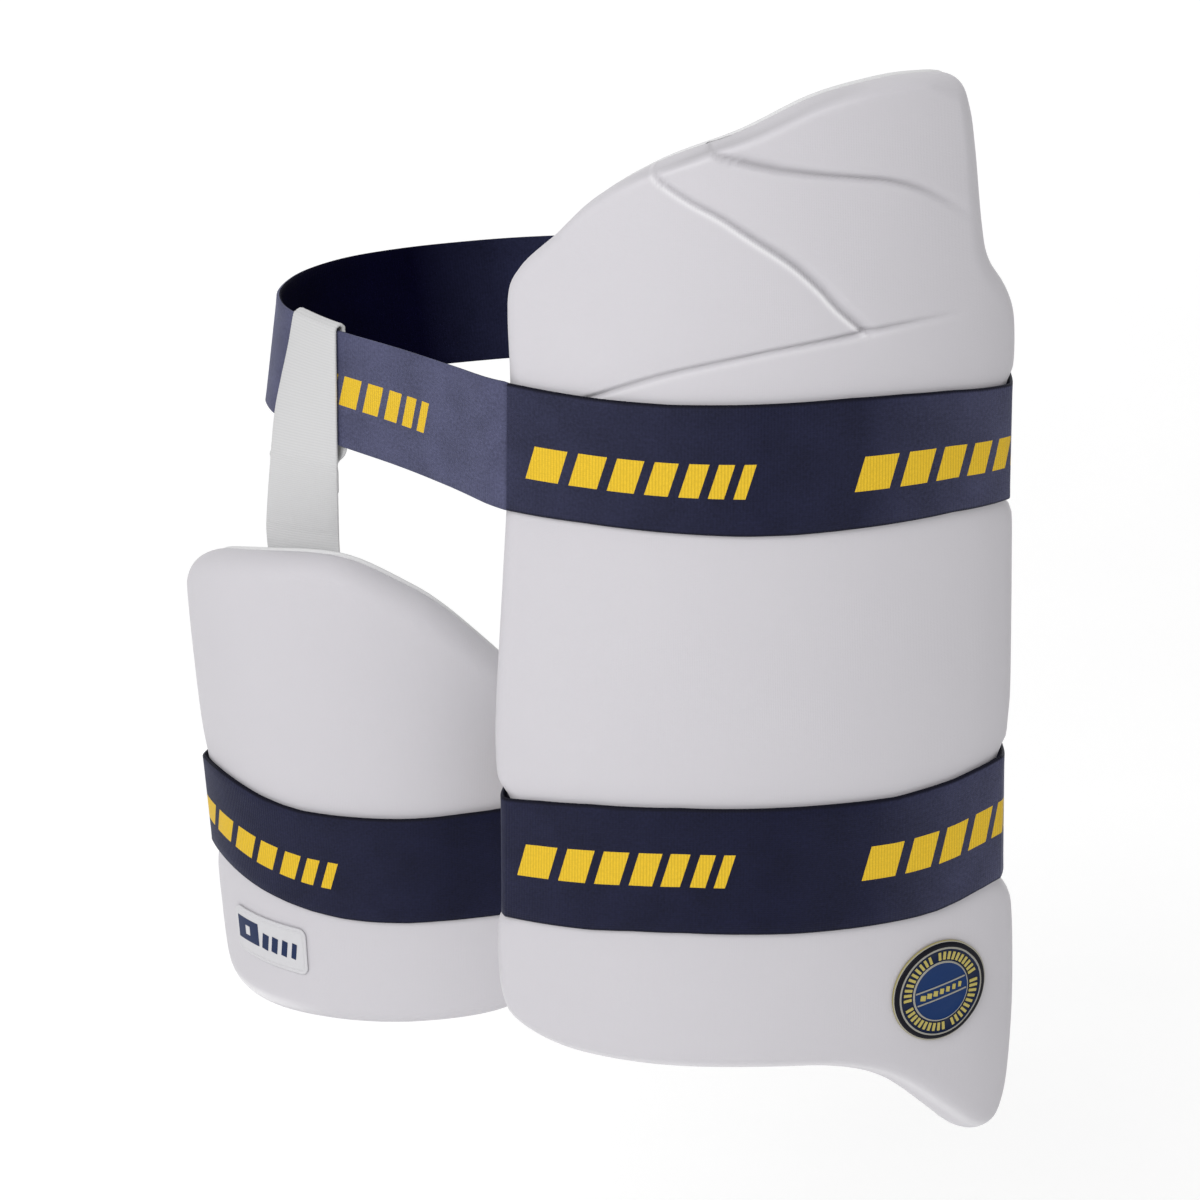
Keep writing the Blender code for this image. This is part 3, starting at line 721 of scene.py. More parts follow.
innerStrapLook = {
    "guard": innerGuard,
    "first": -91, "last": 58,
    "topEdge": [(-100, -169.6), (-91, -169.8), (-80, -169.6), (-72, -170.5), (-66, -171.7), (-59, -173.4),
                (-50, -175.1), (-42, -175.9), (-30, -175.7), (-20, -175.4), (-8, -174.9), (1, -174.1),
                (12, -172.8), (25, -172), (60, -171.8)],
    "bottomEdge": [(-100, -208.2), (-91, -208.6), (-82, -210.2), (-75, -212), (-67, -214.3), (-60, -216.2),
                   (-50, -218.4), (-41, -219.8), (-30, -220.8), (-20, -220.9), (-7, -220.4), (4, -219.4),
                   (16, -218.7), (60, -218.2)],
    "loopTop": [(0, -171.8), (0.1, -172.2), (0.85, -174.4), (0.96, -171.8), (1, -169.8)],
    "loopBottom": [(0, -218.2), (0.1, -217.75), (0.85, -213), (1, -208.6)],
    "turns": [
        (-13.5, 14, 0), (-3, 52, 0), (-7, 88, 0), (-28, 118, 0), (-62, 134, 0), (-100, 136, 0),
        (-132, 122, 0.5), (-155.5, 98, 1), (-169.5, 72, 2), (-175.6, 50, 3), (-176.6, 34, 3.3),
    ],
    "length": 552.9,
    "barStarts": (-4.0, 548.9),
    "barLifts": (-4.3, -4.3),
    "barsEnd": 552.9,
    "barSwitch": 388.0,
    "darkEdge": (600.0, 700.0),
    "repeat": 156.0,
    # painted sheen: how far the elastic is lightened, at lengths from its left end
    "stretch": [(0, 0.2), (60, 0.12), (100, 0.05), (125, 0.0), (150, 0.0), (200, 0.6), (552, 0.2)],
    "insideLight": [(0, 0.3), (552, 0.3)],
}


def edgeHeights(strap, key, places):
    return np.interp(places, *np.array(strap[key], float).T)


def strapRing(strap):
    # the strap's stops on its guard and the plan of its inner face off the guard, in millimetres
    guard = strap["guard"]
    stops = np.linspace(strap["first"], strap["last"], round((strap["last"] - strap["first"]) / 2.0) + 1)
    seat = guard["thickness"] + seatGap
    low = placeOn(guard, stops, edgeHeights(strap, "bottomEdge", stops), seat) / mm
    high = placeOn(guard, stops, edgeHeights(strap, "topEdge", stops), seat) / mm
    outward = (placeOn(guard, stops, 0.0, 1.0) - placeOn(guard, stops, 0.0, 0.0)) / mm
    lean = ((high - low) * outward).sum(1)
    front = np.column_stack([(low + high)[:, 0] / 2, (low + high)[:, 1] / 2, lean])
    knots = np.vstack([front[-4:-3], front[-1:], np.array(strap["turns"], float), front[:1], front[3:4]])
    line, marks = smoothLine(knots, 2.0)
    return stops, line[marks[1]:marks[-2] + 1]


def strapCentre(strap):
    # rows by columns of points on the strap's mid-surface, in metres
    stops, ring = strapRing(strap)
    columns, half = ribbonProfile(strapWidth, strapThickness, 15, 2.0)
    share = (columns + strapWidth / 2) / strapWidth

    def heightsAt(bottomKey, topKey, places):
        bottom, top = edgeHeights(strap, bottomKey, places), edgeHeights(strap, topKey, places)
        return bottom[:, None] + (top - bottom)[:, None] * share

    radius = strapThickness / 2
    onGuard = placeOn(strap["guard"], stops[:, None], heightsAt("bottomEdge", "topEdge", stops),
                      strap["guard"]["thickness"] + seatGap + radius)
    plan = ring[1:-1]
    travel = unit(ring[2:, :2] - ring[:-2, :2])
    shift = radius + plan[:, 2:3] * (share - 0.5)
    heights = heightsAt("loopBottom", "loopTop", np.linspace(0, 1, len(ring))[1:-1])
    offGuard = np.stack([plan[:, 0:1] + travel[:, 1:2] * shift, plan[:, 1:2] - travel[:, 0:1] * shift,
                         heights], -1) * mm
    return np.vstack([onGuard, offGuard]), columns, half


elasticLook = {
    "ownNavy": (0.0062, 0.0072, 0.0250),
    # the navy as lightened by painted sheen
    "paintedSheen": (0.071, 0.074, 0.135),
    # inside: near-black painted shade on the inside face; insideLit: painted light where light would reach it
    "inside": (0.0012, 0.001, 0.009),
    "insideLit": (0.020, 0.022, 0.050),
    # painted shade along the strap's edges
    "edge": (0.003, 0.003, 0.010),
    "yarn": (0.66, 0.43, 0.025),
    "ribPitch": 1.15,
    "warpPitch": 0.8,
    "selvedge": 0.9,
    # where the thicker selvedge starts and ends from the middle, its slope and its height
    "selvedgeFrom": 20.6, "selvedgeTo": 23.2, "selvedgeSlope": 0.8, "selvedgeRise": 0.1,
    # each bar's start and width, in millimetres along one repeat
    "bars": [(0, 13), (17, 11), (31.5, 10), (45, 8.5), (57, 7), (67.5, 5.5), (76.5, 4)],
    "barHeight": 12.5,
    "slant": 0.3,
}


def barMask(tree, strap, look, along, across):
    # 1 on the bars: slanted and upright, one pattern in front and one behind
    front = calc(tree, "LESS_THAN", along, strap["barSwitch"])
    start, lift = (calc(tree, "MULTIPLY_ADD", front, inFront - behind, behind)
                   for inFront, behind in (strap["barStarts"], strap["barLifts"]))
    high = calc(tree, "SUBTRACT", across, lift)
    slanted = calc(tree, "SUBTRACT", calc(tree, "MULTIPLY_ADD", high, -look["slant"], along), start)
    turn = calc(tree, "FRACT", calc(tree, "ADD", calc(tree, "DIVIDE", slanted, strap["repeat"]), 20.0))
    bars = rampOf(tree, turn, [(spot / strap["repeat"], lit) for barStart, width in look["bars"]
                               for spot, lit in ((barStart, 1), (barStart + width, 0))], stepped=True)
    tall = calc(tree, "LESS_THAN", calc(tree, "ABSOLUTE", high), look["barHeight"] / 2)
    kept = calc(tree, "LESS_THAN", along, strap["barsEnd"])
    return calc(tree, "MULTIPLY", calc(tree, "MULTIPLY", bars, tall), kept)


def makeElasticFinish(name, strap, look, printed):
    made, tree, shader = newFinish(
        name, look["ownNavy"], **{"Roughness": 0.62, "Sheen Weight": 0.09 if printed else 0.0,
                                  "Sheen Roughness": 0.35, "Sheen Tint": (0.6, 0.66, 0.9, 1.0),
                                  "Specular IOR Level": 0.12 if printed else 0.02})
    place, along, across = surfacePlace(tree)
    speckle, cloud = noise(tree, place, 0.9, 3.0), noise(tree, place, 0.06, 2.0)
    mottle = calc(tree, "MULTIPLY_ADD", weighted(tree, speckle, 0.6, cloud, 0.4), 1.7, 0.15)
    rib, warp = thread(tree, along, look["ribPitch"]), thread(tree, across, look["warpPitch"])
    # front: the navy lightened by painted sheen, per the stretch table; inside: painted shade lightened by
    # painted light
    table, dark, light = (("stretch", "ownNavy", "paintedSheen") if printed
                          else ("insideLight", "inside", "insideLit"))
    tone = rampOf(tree, calc(tree, "DIVIDE", along, strap["length"]),
                  [(spot / strap["length"], amount) for spot, amount in strap[table]])
    colour = mixColour(tree, tone, look[dark], look[light])
    colour = outputOf(tree, "ShaderNodeVectorMath", {0: colour, "Scale": mottle}, operation="SCALE")
    if printed:
        woven = mixColour(tree, calc(tree, "MULTIPLY", rib, speckle),
                          [c * 0.9 for c in look["yarn"]], [min(c * 1.35, 1.0) for c in look["yarn"]])
        colour = mixColour(tree, barMask(tree, strap, look, along, across), colour, woven)
    # painted shade along both edges, faded out along the strap between the two darkEdge lengths
    margin = strapWidth / 2 - look["selvedge"]
    nearEdge = ranged(tree, calc(tree, "ABSOLUTE", across), margin - 0.4, margin + 0.5)
    edgeShadeShare = ranged(tree, along, *strap["darkEdge"], 1.0, 0.0)
    colour = mixColour(tree, calc(tree, "MULTIPLY", nearEdge, edgeShadeShare), colour, look["edge"])
    tree.links.new(colour, shader.inputs["Base Color"])
    weave = calc(tree, "MULTIPLY_ADD", speckle, 0.5, weighted(tree, rib, 0.7, warp, 0.5))
    setBump(tree, shader, weave, 0.12 * mm)
    return made


def makeStrap(name, strap, look):
    centre, columns, half = strapCentre(strap)
    outward = outwardOf(centre, True, centre.reshape(-1, 3).mean(0))
    fromMiddle = np.abs(columns)
    selvedge = (look["selvedgeRise"] * fade(fromMiddle, look["selvedgeFrom"], look["selvedgeSlope"])
                * (fromMiddle < look["selvedgeTo"]))
    thick = np.broadcast_to(half + selvedge, centre.shape[:2])
    place = ribbonPlace(np.vstack([centre, centre[:1]]), columns)
    finishes = [makeElasticFinish(name + "Face", strap, look, True),
                makeElasticFinish(name + "Inside", strap, look, False)]
    return makeRibbon(name, centre, outward, thick, place, finishes, closed=True)


waistStrap = makeStrap("waistStrap", waistStrapLook, elasticLook)
outerThighStrap = makeStrap("outerThighStrap", outerStrapLook, elasticLook)
innerThighStrap = makeStrap("innerThighStrap", innerStrapLook, elasticLook)
print("stage: straps made")

# hanger webbing: folded over the belt, sewn inside the inner guard
webbingLook = {
    "width": 30.0,
    "thickness": 1.2,
    "gap": 0.6,
    # where it crosses the belt, in plan, and where it enters the guard
    "place": (-125.0, -16.0),
    "across": -45.0,
    "entry": -66.0,
    # how far its left edge stands off the belt's lower edge, and how far above the belt that starts
    "lift": 7.5,
    "liftAbove": 8.0,
    "lap": 14.0,
    "lapStart": 4.0,
    "tail": 42.0,
    # how straight it leaves the guard and meets the belt
    "pulls": (0.5, 0.6),
    "rows": 721,
    "ribPitch": 1.1,
    "ribHeight": 0.13,
    "colour": (0.585, 0.585, 0.59),
}


def beltSampler(strap, near):
    # the belt's plan, lean and normal at a shift from a place
    _, ring = strapRing(strap)
    lengths = lengthsOf(ring[:, :2])
    start = lengths[np.argmin(np.hypot(ring[:, 0] - near[0], ring[:, 1] - near[1]))]
    travel = unit(np.gradient(ring[:, :2], axis=0))

    def belt(shift):
        x, y, lean, alongX, alongY = (np.interp(start + shift, lengths, values)
                                      for values in (*ring.T, *travel.T))
        return np.array([x, y]), lean, unit(np.array([alongY, -alongX]))
    return belt


def webbingThread(belt, look, shift):
    half, gap = look["thickness"] / 2, look["gap"]
    front, back = strapThickness + gap + half, -gap - half
    crown = (front + back) / 2
    spot, lean, normal = belt(shift)

    def onBelt(out, rise):
        return np.append(spot + normal * (out + lean * rise / strapWidth), rise)

    def inPad(height):
        return placeOn(innerGuard, look["across"] + shift, height, back) / mm

    def lifted(rise):
        # the left edge stands off the belt, more so towards its lower edge
        reach = strapWidth + look["liftAbove"]
        low = smoothStep((reach - strapWidth / 2 - rise) / reach)
        return onBelt(front + look["lift"] * (0.5 - shift / look["width"]) * low, rise)

    # up the tail, across to the belt's lower edge, up its face, over it, down its back and past it
    under, over = -strapWidth / 2 - 1.5, -strapWidth / 2 + 6.0
    top, entry = lifted(under), inPad(look["entry"])
    climb = top[2] - entry[2]
    line = [inPad(look["entry"] - look["tail"] * (4 - k) / 4) for k in range(4)]
    start = np.array([0.0, 0.0, climb * look["pulls"][0]])
    end = (lifted(over) - top) / (over - under) * climb * look["pulls"][1]
    for k in range(6):
        t = k / 5
        line.append((2 * t ** 3 - 3 * t ** 2 + 1) * entry + (t ** 3 - 2 * t ** 2 + t) * start
                    + (3 * t ** 2 - 2 * t ** 3) * top + (t ** 3 - t ** 2) * end)
    line += [lifted(strapWidth * (k / 4 - 0.5)) for k in range(1, 5)]
    for k in range(1, 6):
        angle = math.pi * k / 6
        line.append(onBelt(crown + (front - crown) * math.cos(angle),
                           strapWidth / 2 + (front - crown) * math.sin(angle)))
    line += [onBelt(back, strapWidth * (0.5 - k / 4)) for k in range(5)]
    drop = (top - entry) / climb
    behind = np.array([0.0, (look["thickness"] + gap) / abs(normal[1]), 0.0])
    line += [top - drop * (look["lapStart"] + look["lap"] * k / 3) + behind for k in range(4)]
    return np.array(line)


def makeWebbing(look):
    belt = beltSampler(waistStrapLook, look["place"])
    columns, half = ribbonProfile(look["width"], look["thickness"], 9, 1.2)
    threads = []
    for shift in columns:
        control = webbingThread(belt, look, shift)
        line, marks = smoothLine(control, 0.3)
        fine = np.interp(np.linspace(0, len(control) - 1, look["rows"]), range(len(control)), marks)
        threads.append(np.stack([np.interp(fine, range(len(line)), values) for values in line.T], -1))
    centre = np.stack(threads, 1) * mm
    place = ribbonPlace(centre, columns)
    outward = outwardOf(centre, False, np.array([0.0, 0.2, 0.0]))
    ribs = look["ribHeight"] * np.abs(np.sin(math.pi * place[:, :1, 0] / mm / look["ribPitch"]))
    thick = half[None] * (1 - look["ribHeight"]) + ribs * (half > 0.3)[None]
    finish, tree, shader = newFinish("whiteWebbing", look["colour"], **{
        "Roughness": 0.75, "Sheen Weight": 0.2, "Sheen Roughness": 0.5, "Specular IOR Level": 0.3})
    spot, runs, crosses = surfacePlace(tree)
    fibres = noise(tree, spot, 1.2, 3.0)
    tone = weighted(tree, thread(tree, runs, look["ribPitch"]), 0.6, fibres, 0.4)
    tree.links.new(mixColour(tree, tone, [c * 0.86 for c in look["colour"]], look["colour"]),
                   shader.inputs["Base Color"])
    bumps = calc(tree, "MULTIPLY_ADD", thread(tree, crosses, 0.75), 0.5, fibres)
    setBump(tree, shader, bumps, 0.06 * mm)
    return makeRibbon("hangerWebbing", centre, outward, thick, place, [finish], closed=False)


hangerWebbing = makeWebbing(webbingLook)
print("stage: webbing made")


# small repeated shapes, made by node trees in flat millimetres and then laid on their piece
def newTree(name, inputs):
    tree = bpy.data.node_groups.new(name, "GeometryNodeTree")
    tree.interface.new_socket("Geometry", in_out="INPUT", socket_type="NodeSocketGeometry")
    for socketName, (kind, value) in inputs.items():
        made = tree.interface.new_socket(socketName, in_out="INPUT", socket_type="NodeSocket" + kind)
        if kind != "Material":
            made.default_value = value
    tree.interface.new_socket("Geometry", in_out="OUTPUT", socket_type="NodeSocketGeometry")
    return tree, addNode(tree, "NodeGroupInput")


def endTree(tree, instances, finish):
    solid = addNode(tree, "GeometryNodeRealizeInstances", {0: instances})
    dressed = addNode(tree, "GeometryNodeSetMaterial", {0: solid.outputs[0], "Material": finish})
    tree.links.new(dressed.outputs[0], addNode(tree, "NodeGroupOutput").inputs[0])


def makeStitchTree():
    # stitches that follow a line
    tree, given = newTree("stitchRow", {
        "Pitch": ("Float", 3.4), "Length": ("Float", 2.4), "Thickness": ("Float", 0.5),
        "Thread": ("Material", None)})
    line = addNode(tree, "GeometryNodeMeshToCurve", {0: given.outputs["Geometry"]})
    spots = addNode(tree, "GeometryNodeResampleCurve", {0: line.outputs[0], "Length": given.outputs["Pitch"]},
                    mode="LENGTH")
    ball = addNode(tree, "GeometryNodeMeshUVSphere", {"Segments": 8, "Rings": 5, "Radius": 0.5})
    size = addNode(tree, "ShaderNodeCombineXYZ", {
        0: given.outputs["Length"], 1: given.outputs["Thickness"], 2: given.outputs["Thickness"]})
    stitch = addNode(tree, "GeometryNodeTransform", {0: ball.outputs[0], "Scale": size.outputs[0]})
    tangent = addNode(tree, "GeometryNodeInputTangent")
    turned = addNode(tree, "FunctionNodeAlignRotationToVector", {"Vector": tangent.outputs[0]}, axis="X")
    placed = addNode(tree, "GeometryNodeInstanceOnPoints", {
        0: spots.outputs[0], "Instance": stitch.outputs[0], "Rotation": turned.outputs[0]})
    endTree(tree, placed.outputs[0], given.outputs["Thread"])
    return tree


def makeTickTree():
    # blocks round a circle in groups, with a gap after each group
    tree, given = newTree("tickRing", {
        "Radius": ("Float", 14.7), "Count": ("Int", 36), "Group": ("Int", 9), "Shown": ("Int", 7),
        "Length": ("Float", 3.2), "Width": ("Float", 1.3), "Height": ("Float", 0.4),
        "Finish": ("Material", None)})
    ring = addNode(tree, "GeometryNodeMeshCircle", {
        "Vertices": given.outputs["Count"], "Radius": given.outputs["Radius"]})
    index = addNode(tree, "GeometryNodeInputIndex")
    turn = addNode(tree, "ShaderNodeMath", {0: index.outputs[0], 1: given.outputs["Group"]},
                   operation="MODULO")
    shown = addNode(tree, "ShaderNodeMath", {0: turn.outputs[0], 1: given.outputs["Shown"]},
                    operation="LESS_THAN")
    size = addNode(tree, "ShaderNodeCombineXYZ", {
        0: given.outputs["Length"], 1: given.outputs["Width"], 2: given.outputs["Height"]})
    block = addNode(tree, "GeometryNodeMeshCube", {"Size": size.outputs[0]})
    spot = addNode(tree, "GeometryNodeInputPosition")
    turned = addNode(tree, "FunctionNodeAlignRotationToVector", {"Vector": spot.outputs[0]}, axis="X")
    placed = addNode(tree, "GeometryNodeInstanceOnPoints", {
        0: ring.outputs[0], "Selection": shown.outputs[0], "Instance": block.outputs[0],
        "Rotation": turned.outputs[0]})
    endTree(tree, placed.outputs[0], given.outputs["Finish"])
    return tree


def makeBarTree():
    # a row of leaning bars, each narrower than the one before
    tree, given = newTree("barRow", {
        "Count": ("Int", 5), "Pitch": ("Float", 4.0), "Width": ("Float", 2.4), "Narrowing": ("Float", 0.3),
        "Tall": ("Float", 6.0), "Height": ("Float", 0.3), "Lean": ("Float", 0.25), "Cuts": ("Int", 4),
        "Finish": ("Material", None)})
    step = addNode(tree, "ShaderNodeCombineXYZ", {0: given.outputs["Pitch"]})
    row = addNode(tree, "GeometryNodeMeshLine", {"Count": given.outputs["Count"], "Offset": step.outputs[0]})
    index = addNode(tree, "GeometryNodeInputIndex")
    less = addNode(tree, "ShaderNodeMath", {0: index.outputs[0], 1: given.outputs["Narrowing"]},
                   operation="MULTIPLY")
    width = addNode(tree, "ShaderNodeMath", {0: given.outputs["Width"], 1: less.outputs[0]},
                    operation="SUBTRACT")
    size = addNode(tree, "ShaderNodeCombineXYZ", {0: width.outputs[0], 1: given.outputs["Tall"],
                                                  2: given.outputs["Height"]})
    block = addNode(tree, "GeometryNodeMeshCube", {"Vertices X": given.outputs["Cuts"]})
    turn = addNode(tree, "ShaderNodeMath", {0: given.outputs["Lean"], 1: -1.0}, operation="MULTIPLY")
    turned = addNode(tree, "ShaderNodeCombineXYZ", {2: turn.outputs[0]})
    placed = addNode(tree, "GeometryNodeInstanceOnPoints", {
        0: row.outputs[0], "Instance": block.outputs[0], "Rotation": turned.outputs[0],
        "Scale": size.outputs[0]})
    endTree(tree, placed.outputs[0], given.outputs["Finish"])
    return tree


stitchTree, tickTree, barTree = makeStitchTree(), makeTickTree(), makeBarTree()


def grow(tree, values, line=None, closed=False):
    # the plain mesh that a tree makes, from a line of points where it needs one
    mesh = bpy.data.meshes.new(tree.name)
    if line is not None:
        edges = [(k, k + 1) for k in range(len(line) - 1)] + ([(len(line) - 1, 0)] if closed else [])
        mesh.from_pydata(line.tolist(), edges, [])
    carrier = bpy.data.objects.new(tree.name, mesh)
    bpy.context.scene.collection.objects.link(carrier)
    nodes = carrier.modifiers.new("nodes", "NODES")
    nodes.node_group = tree
    sockets = {item.name: item.identifier for item in tree.interface.items_tree if item.in_out == "INPUT"}
    for key, value in values.items():
        nodes[sockets[key]] = value
    made = bpy.data.meshes.new_from_object(carrier.evaluated_get(bpy.context.evaluated_depsgraph_get()))
    bpy.data.objects.remove(carrier)
    return made


def readPoints(mesh):
    flat = np.empty(len(mesh.vertices) * 3)
    mesh.vertices.foreach_get("co", flat)
    return flat.reshape(-1, 3)


def addTo(piece, mesh, points):
    # join a mesh, moved to new points, to a piece and keep its finishes
    mesh.vertices.foreach_set("co", np.asarray(points, float).ravel())
    numbers = []
    for finish in mesh.materials:
        if finish and finish.name not in piece.data.materials:
            piece.data.materials.append(finish)
        numbers.append(piece.data.materials.find(finish.name) if finish else 0)
    slots = np.array([numbers[face.material_index] for face in mesh.polygons], dtype=np.int32)
    mesh.polygons.foreach_set("material_index", slots)
    shape = bmesh.new()
    shape.from_mesh(piece.data)
    shape.from_mesh(mesh)
    shape.to_mesh(piece.data)
    shape.free()
    bpy.data.meshes.remove(mesh)


def patchPlace(guard, middle, flat, seat):
    # flat millimetres laid on a guard's front round a middle spot, at their true width
    ends = placeOn(guard, [middle[0] - 5, middle[0] + 5], middle[1], seat)
    stretch = np.linalg.norm(ends[1] - ends[0]) / (10 * mm)
    return placeOn(guard, middle[0] + flat[:, 0] / stretch, middle[1] + flat[:, 1], seat + flat[:, 2])


def turnFlat(flat, degrees, x=0.0, y=0.0, rise=0.0):
    a = math.radians(degrees)
    return np.column_stack([
        flat[:, 0] * math.cos(a) - flat[:, 1] * math.sin(a) + x,
        flat[:, 0] * math.sin(a) + flat[:, 1] * math.cos(a) + y, flat[:, 2] + rise])


def makeSatin(name, colour, roughness, grain=0.04, darker=0.8):
    made, tree, shader = newFinish(name, colour, **{"Roughness": roughness, "Specular IOR Level": 0.15})
    spot = addNode(tree, "ShaderNodeTexCoord").outputs["Object"]
    speckle = addNode(tree, "ShaderNodeTexNoise", {"Vector": spot, "Scale": 900.0, "Detail": 3.0})
    cloud = addNode(tree, "ShaderNodeTexNoise", {"Vector": spot, "Scale": 60.0, "Detail": 2.0})
    tone = calc(tree, "MULTIPLY_ADD", speckle.outputs[0], 0.5, calc(tree, "MULTIPLY", cloud.outputs[0], 0.5))
    tree.links.new(mixColour(tree, tone, [c * darker for c in colour], colour), shader.inputs["Base Color"])
    setBump(tree, shader, speckle.outputs[0], grain * mm)
    return made


# round badge: a moulded patch with ringed steps, generic ticks and a raised middle bar
badgeLook = {
    "guard": outerGuard,
    "middle": (67, -213),
    "segments": 120,
    # radius, rise and finish of each step outwards in
    "steps": [
        (20.5, 0.0, 0), (20.5, 0.55, 0), (20.35, 0.7, 0), (19.95, 0.75, 1), (19.75, 0.75, 2),
        (19.65, 1.25, 2), (19.5, 1.4, 2), (19.1, 1.5, 2), (18.1, 1.5, 2), (17.9, 1.45, 3),
        (17.75, 1.62, 3), (17.4, 1.62, 3), (17.25, 1.35, 4), (17.1, 1.25, 4), (12.4, 1.25, 4),
        (12.25, 1.4, 3), (12.1, 1.6, 3), (11.75, 1.6, 3), (11.6, 1.35, 5), (11.4, 1.3, 5),
        (8.0, 1.36, 5), (4.0, 1.4, 5),
    ],
    "finishes": {
        "badgeGold": ((0.36, 0.31, 0.12), 0.45), "badgePale": ((0.42, 0.40, 0.34), 0.5),
        "badgeBlack": ((0.003, 0.003, 0.008), 0.55), "badgeGrey": ((0.34, 0.33, 0.29), 0.45),
        "badgeNavy": ((0.004, 0.012, 0.045), 0.5), "badgeBlue": ((0.004, 0.030, 0.125), 0.5),
        "badgeYellow": ((0.50, 0.42, 0.12), 0.45),
    },
}


def makeBadge(look):
    finishes = [makeSatin(name, *values) for name, values in look["finishes"].items()]
    steps, count = look["steps"], look["segments"]
    angles = np.arange(count) * 2 * math.pi / count
    rings = [np.column_stack([r * np.cos(angles), r * np.sin(angles), np.full(count, z)]) for r, z, _ in steps]
    flat = np.vstack(rings + [[[0, 0, 0]], [[0, 0, steps[-1][1]]]])
    index = np.arange(len(steps) * count).reshape(len(steps), count)
    faces = gridFaces(np.hstack([index, index[:, :1]]))
    slots = [step[2] for step in steps[1:] for _ in range(count)]
    under, over = len(flat) - 2, len(flat) - 1
    for k in range(count):
        nextOne = (k + 1) % count
        faces += [(under, index[0, nextOne], index[0, k]), (over, index[-1, k], index[-1, nextOne])]
        slots += [0, steps[-1][2]]
    seat = look["guard"]["thickness"] + seatGap
    made = makePiece("roundBadge", patchPlace(look["guard"], look["middle"], flat, seat),
                     [[int(c) for c in face] for face in faces], finishes, faceFinish=slots)
    ticks = grow(tickTree, {"Count": 44, "Group": 11, "Shown": 10, "Width": 1.1, "Finish": finishes[6]})
    addTo(made, ticks, patchPlace(look["guard"], look["middle"],
                                  turnFlat(readPoints(ticks), 20, rise=1.3), seat))
    bars = grow(barTree, {"Count": 7, "Pitch": 2.75, "Width": 2.1, "Narrowing": 0.16, "Tall": 2.1,
                          "Height": 0.45, "Lean": 0.3, "Finish": finishes[6]})
    addTo(made, bars, patchPlace(look["guard"], look["middle"],
                                 turnFlat(turnFlat(readPoints(bars), 0, -8.2), 8, rise=1.45), seat))
    for side, finish in ((-2.6, finishes[3]), (2.6, finishes[3])):
        rail = grow(barTree, {"Count": 1, "Width": 22.0, "Tall": 0.5, "Height": 0.35, "Lean": 0.0,
                              "Cuts": 20, "Finish": finish})
        addTo(made, rail, patchPlace(look["guard"], look["middle"],
                                     turnFlat(turnFlat(readPoints(rail), 0, 0, side), 8, rise=1.45), seat))
    return made


roundBadge = makeBadge(badgeLook)

# name label: a soft white plate with a fine rim, a blank square and generic bars
labelLook = {
    "guard": innerGuard,
    "middle": (-61, -240),
    "size": (42.0, 20.5),
    "corner": 3.5,
    "thickness": 0.8,
    "rimPlace": 1.5,
    "rimDepth": 0.3,
    "edgeSteps": (0.0, 0.06, 0.2, 0.45, 0.8, 1.1, 1.3, 1.5, 1.7, 1.9, 2.4),
    "finishes": {
        "labelWhite": ((0.60, 0.595, 0.615), 0.42), "labelNavy": ((0.010, 0.022, 0.075), 0.42),
    },
}


def makeLabel(look):
    finishes = [makeSatin(name, *values, darker=0.94) for name, values in look["finishes"].items()]
    halfWide, halfTall = look["size"][0] / 2, look["size"][1] / 2
    columns = 2 * fillFractions(look["size"][0], 1.2, look["edgeSteps"]) - 1
    rows = 2 * fillFractions(look["size"][1], 1.0, look["edgeSteps"]) - 1
    past = np.maximum(0.0, np.abs(rows) * halfTall - (halfTall - look["corner"]))
    inset = look["corner"] - np.sqrt(look["corner"] ** 2 - past ** 2)
    flat = np.stack([columns[None, :] * (halfWide - inset[:, None]),
                     np.broadcast_to(rows[:, None] * halfTall, (len(rows), len(columns)))], -1)
    border = np.vstack([flat[0], flat[:, -1], flat[-1, ::-1], flat[::-1, 0]])
    depth, _, _ = lineDistance(flat, border)
    depth[[0, -1], :] = 0.0
    depth[:, [0, -1]] = 0.0
    seat = look["guard"]["thickness"] + seatGap
    rise = 0.25 + (look["thickness"] - 0.25) * roundProfile(depth, 0.8)
    rise = rise - look["rimDepth"] * np.exp(-((depth - look["rimPlace"]) / 0.22) ** 2)
    ends = placeOn(look["guard"], [look["middle"][0] - 5, look["middle"][0] + 5], look["middle"][1], seat)
    stretch = np.linalg.norm(ends[1] - ends[0]) / (10 * mm)
    spots = np.stack([look["middle"][0] + flat[..., 0] / stretch, look["middle"][1] + flat[..., 1]], -1)
    back = np.where(depth > 0, 0.0, 0.25)
    made = shellPiece("nameLabel", look["guard"], spots, seat + rise, seat + back, [finishes[0]])
    made.data.materials.append(finishes[1])
    top = look["thickness"]
    for values, x, y in (
        ({"Count": 1, "Width": 13.6, "Tall": 10.0, "Height": 0.3, "Lean": 0.0, "Cuts": 12}, -11.9, 1.2),
        ({"Count": 4, "Pitch": 5.2, "Width": 3.4, "Narrowing": 0.3, "Tall": 7.0, "Height": 0.3,
          "Lean": 0.16}, -1.0, -0.4),
    ):
        mark = grow(barTree, {**values, "Finish": finishes[1]})
        addTo(made, mark, patchPlace(look["guard"], look["middle"],
                                     turnFlat(readPoints(mark), 0, x, y, top), seat))
    mark = grow(barTree, {"Count": 1, "Width": 2.8, "Tall": 4.0, "Height": 0.3, "Lean": 0.0,
                          "Finish": finishes[0]})
    addTo(made, mark, patchPlace(look["guard"], look["middle"],
                                 turnFlat(readPoints(mark), 0, -11.9, 1.2, top + 0.1), seat))
    return made


nameLabel = makeLabel(labelLook)
print("stage: badge and label made")

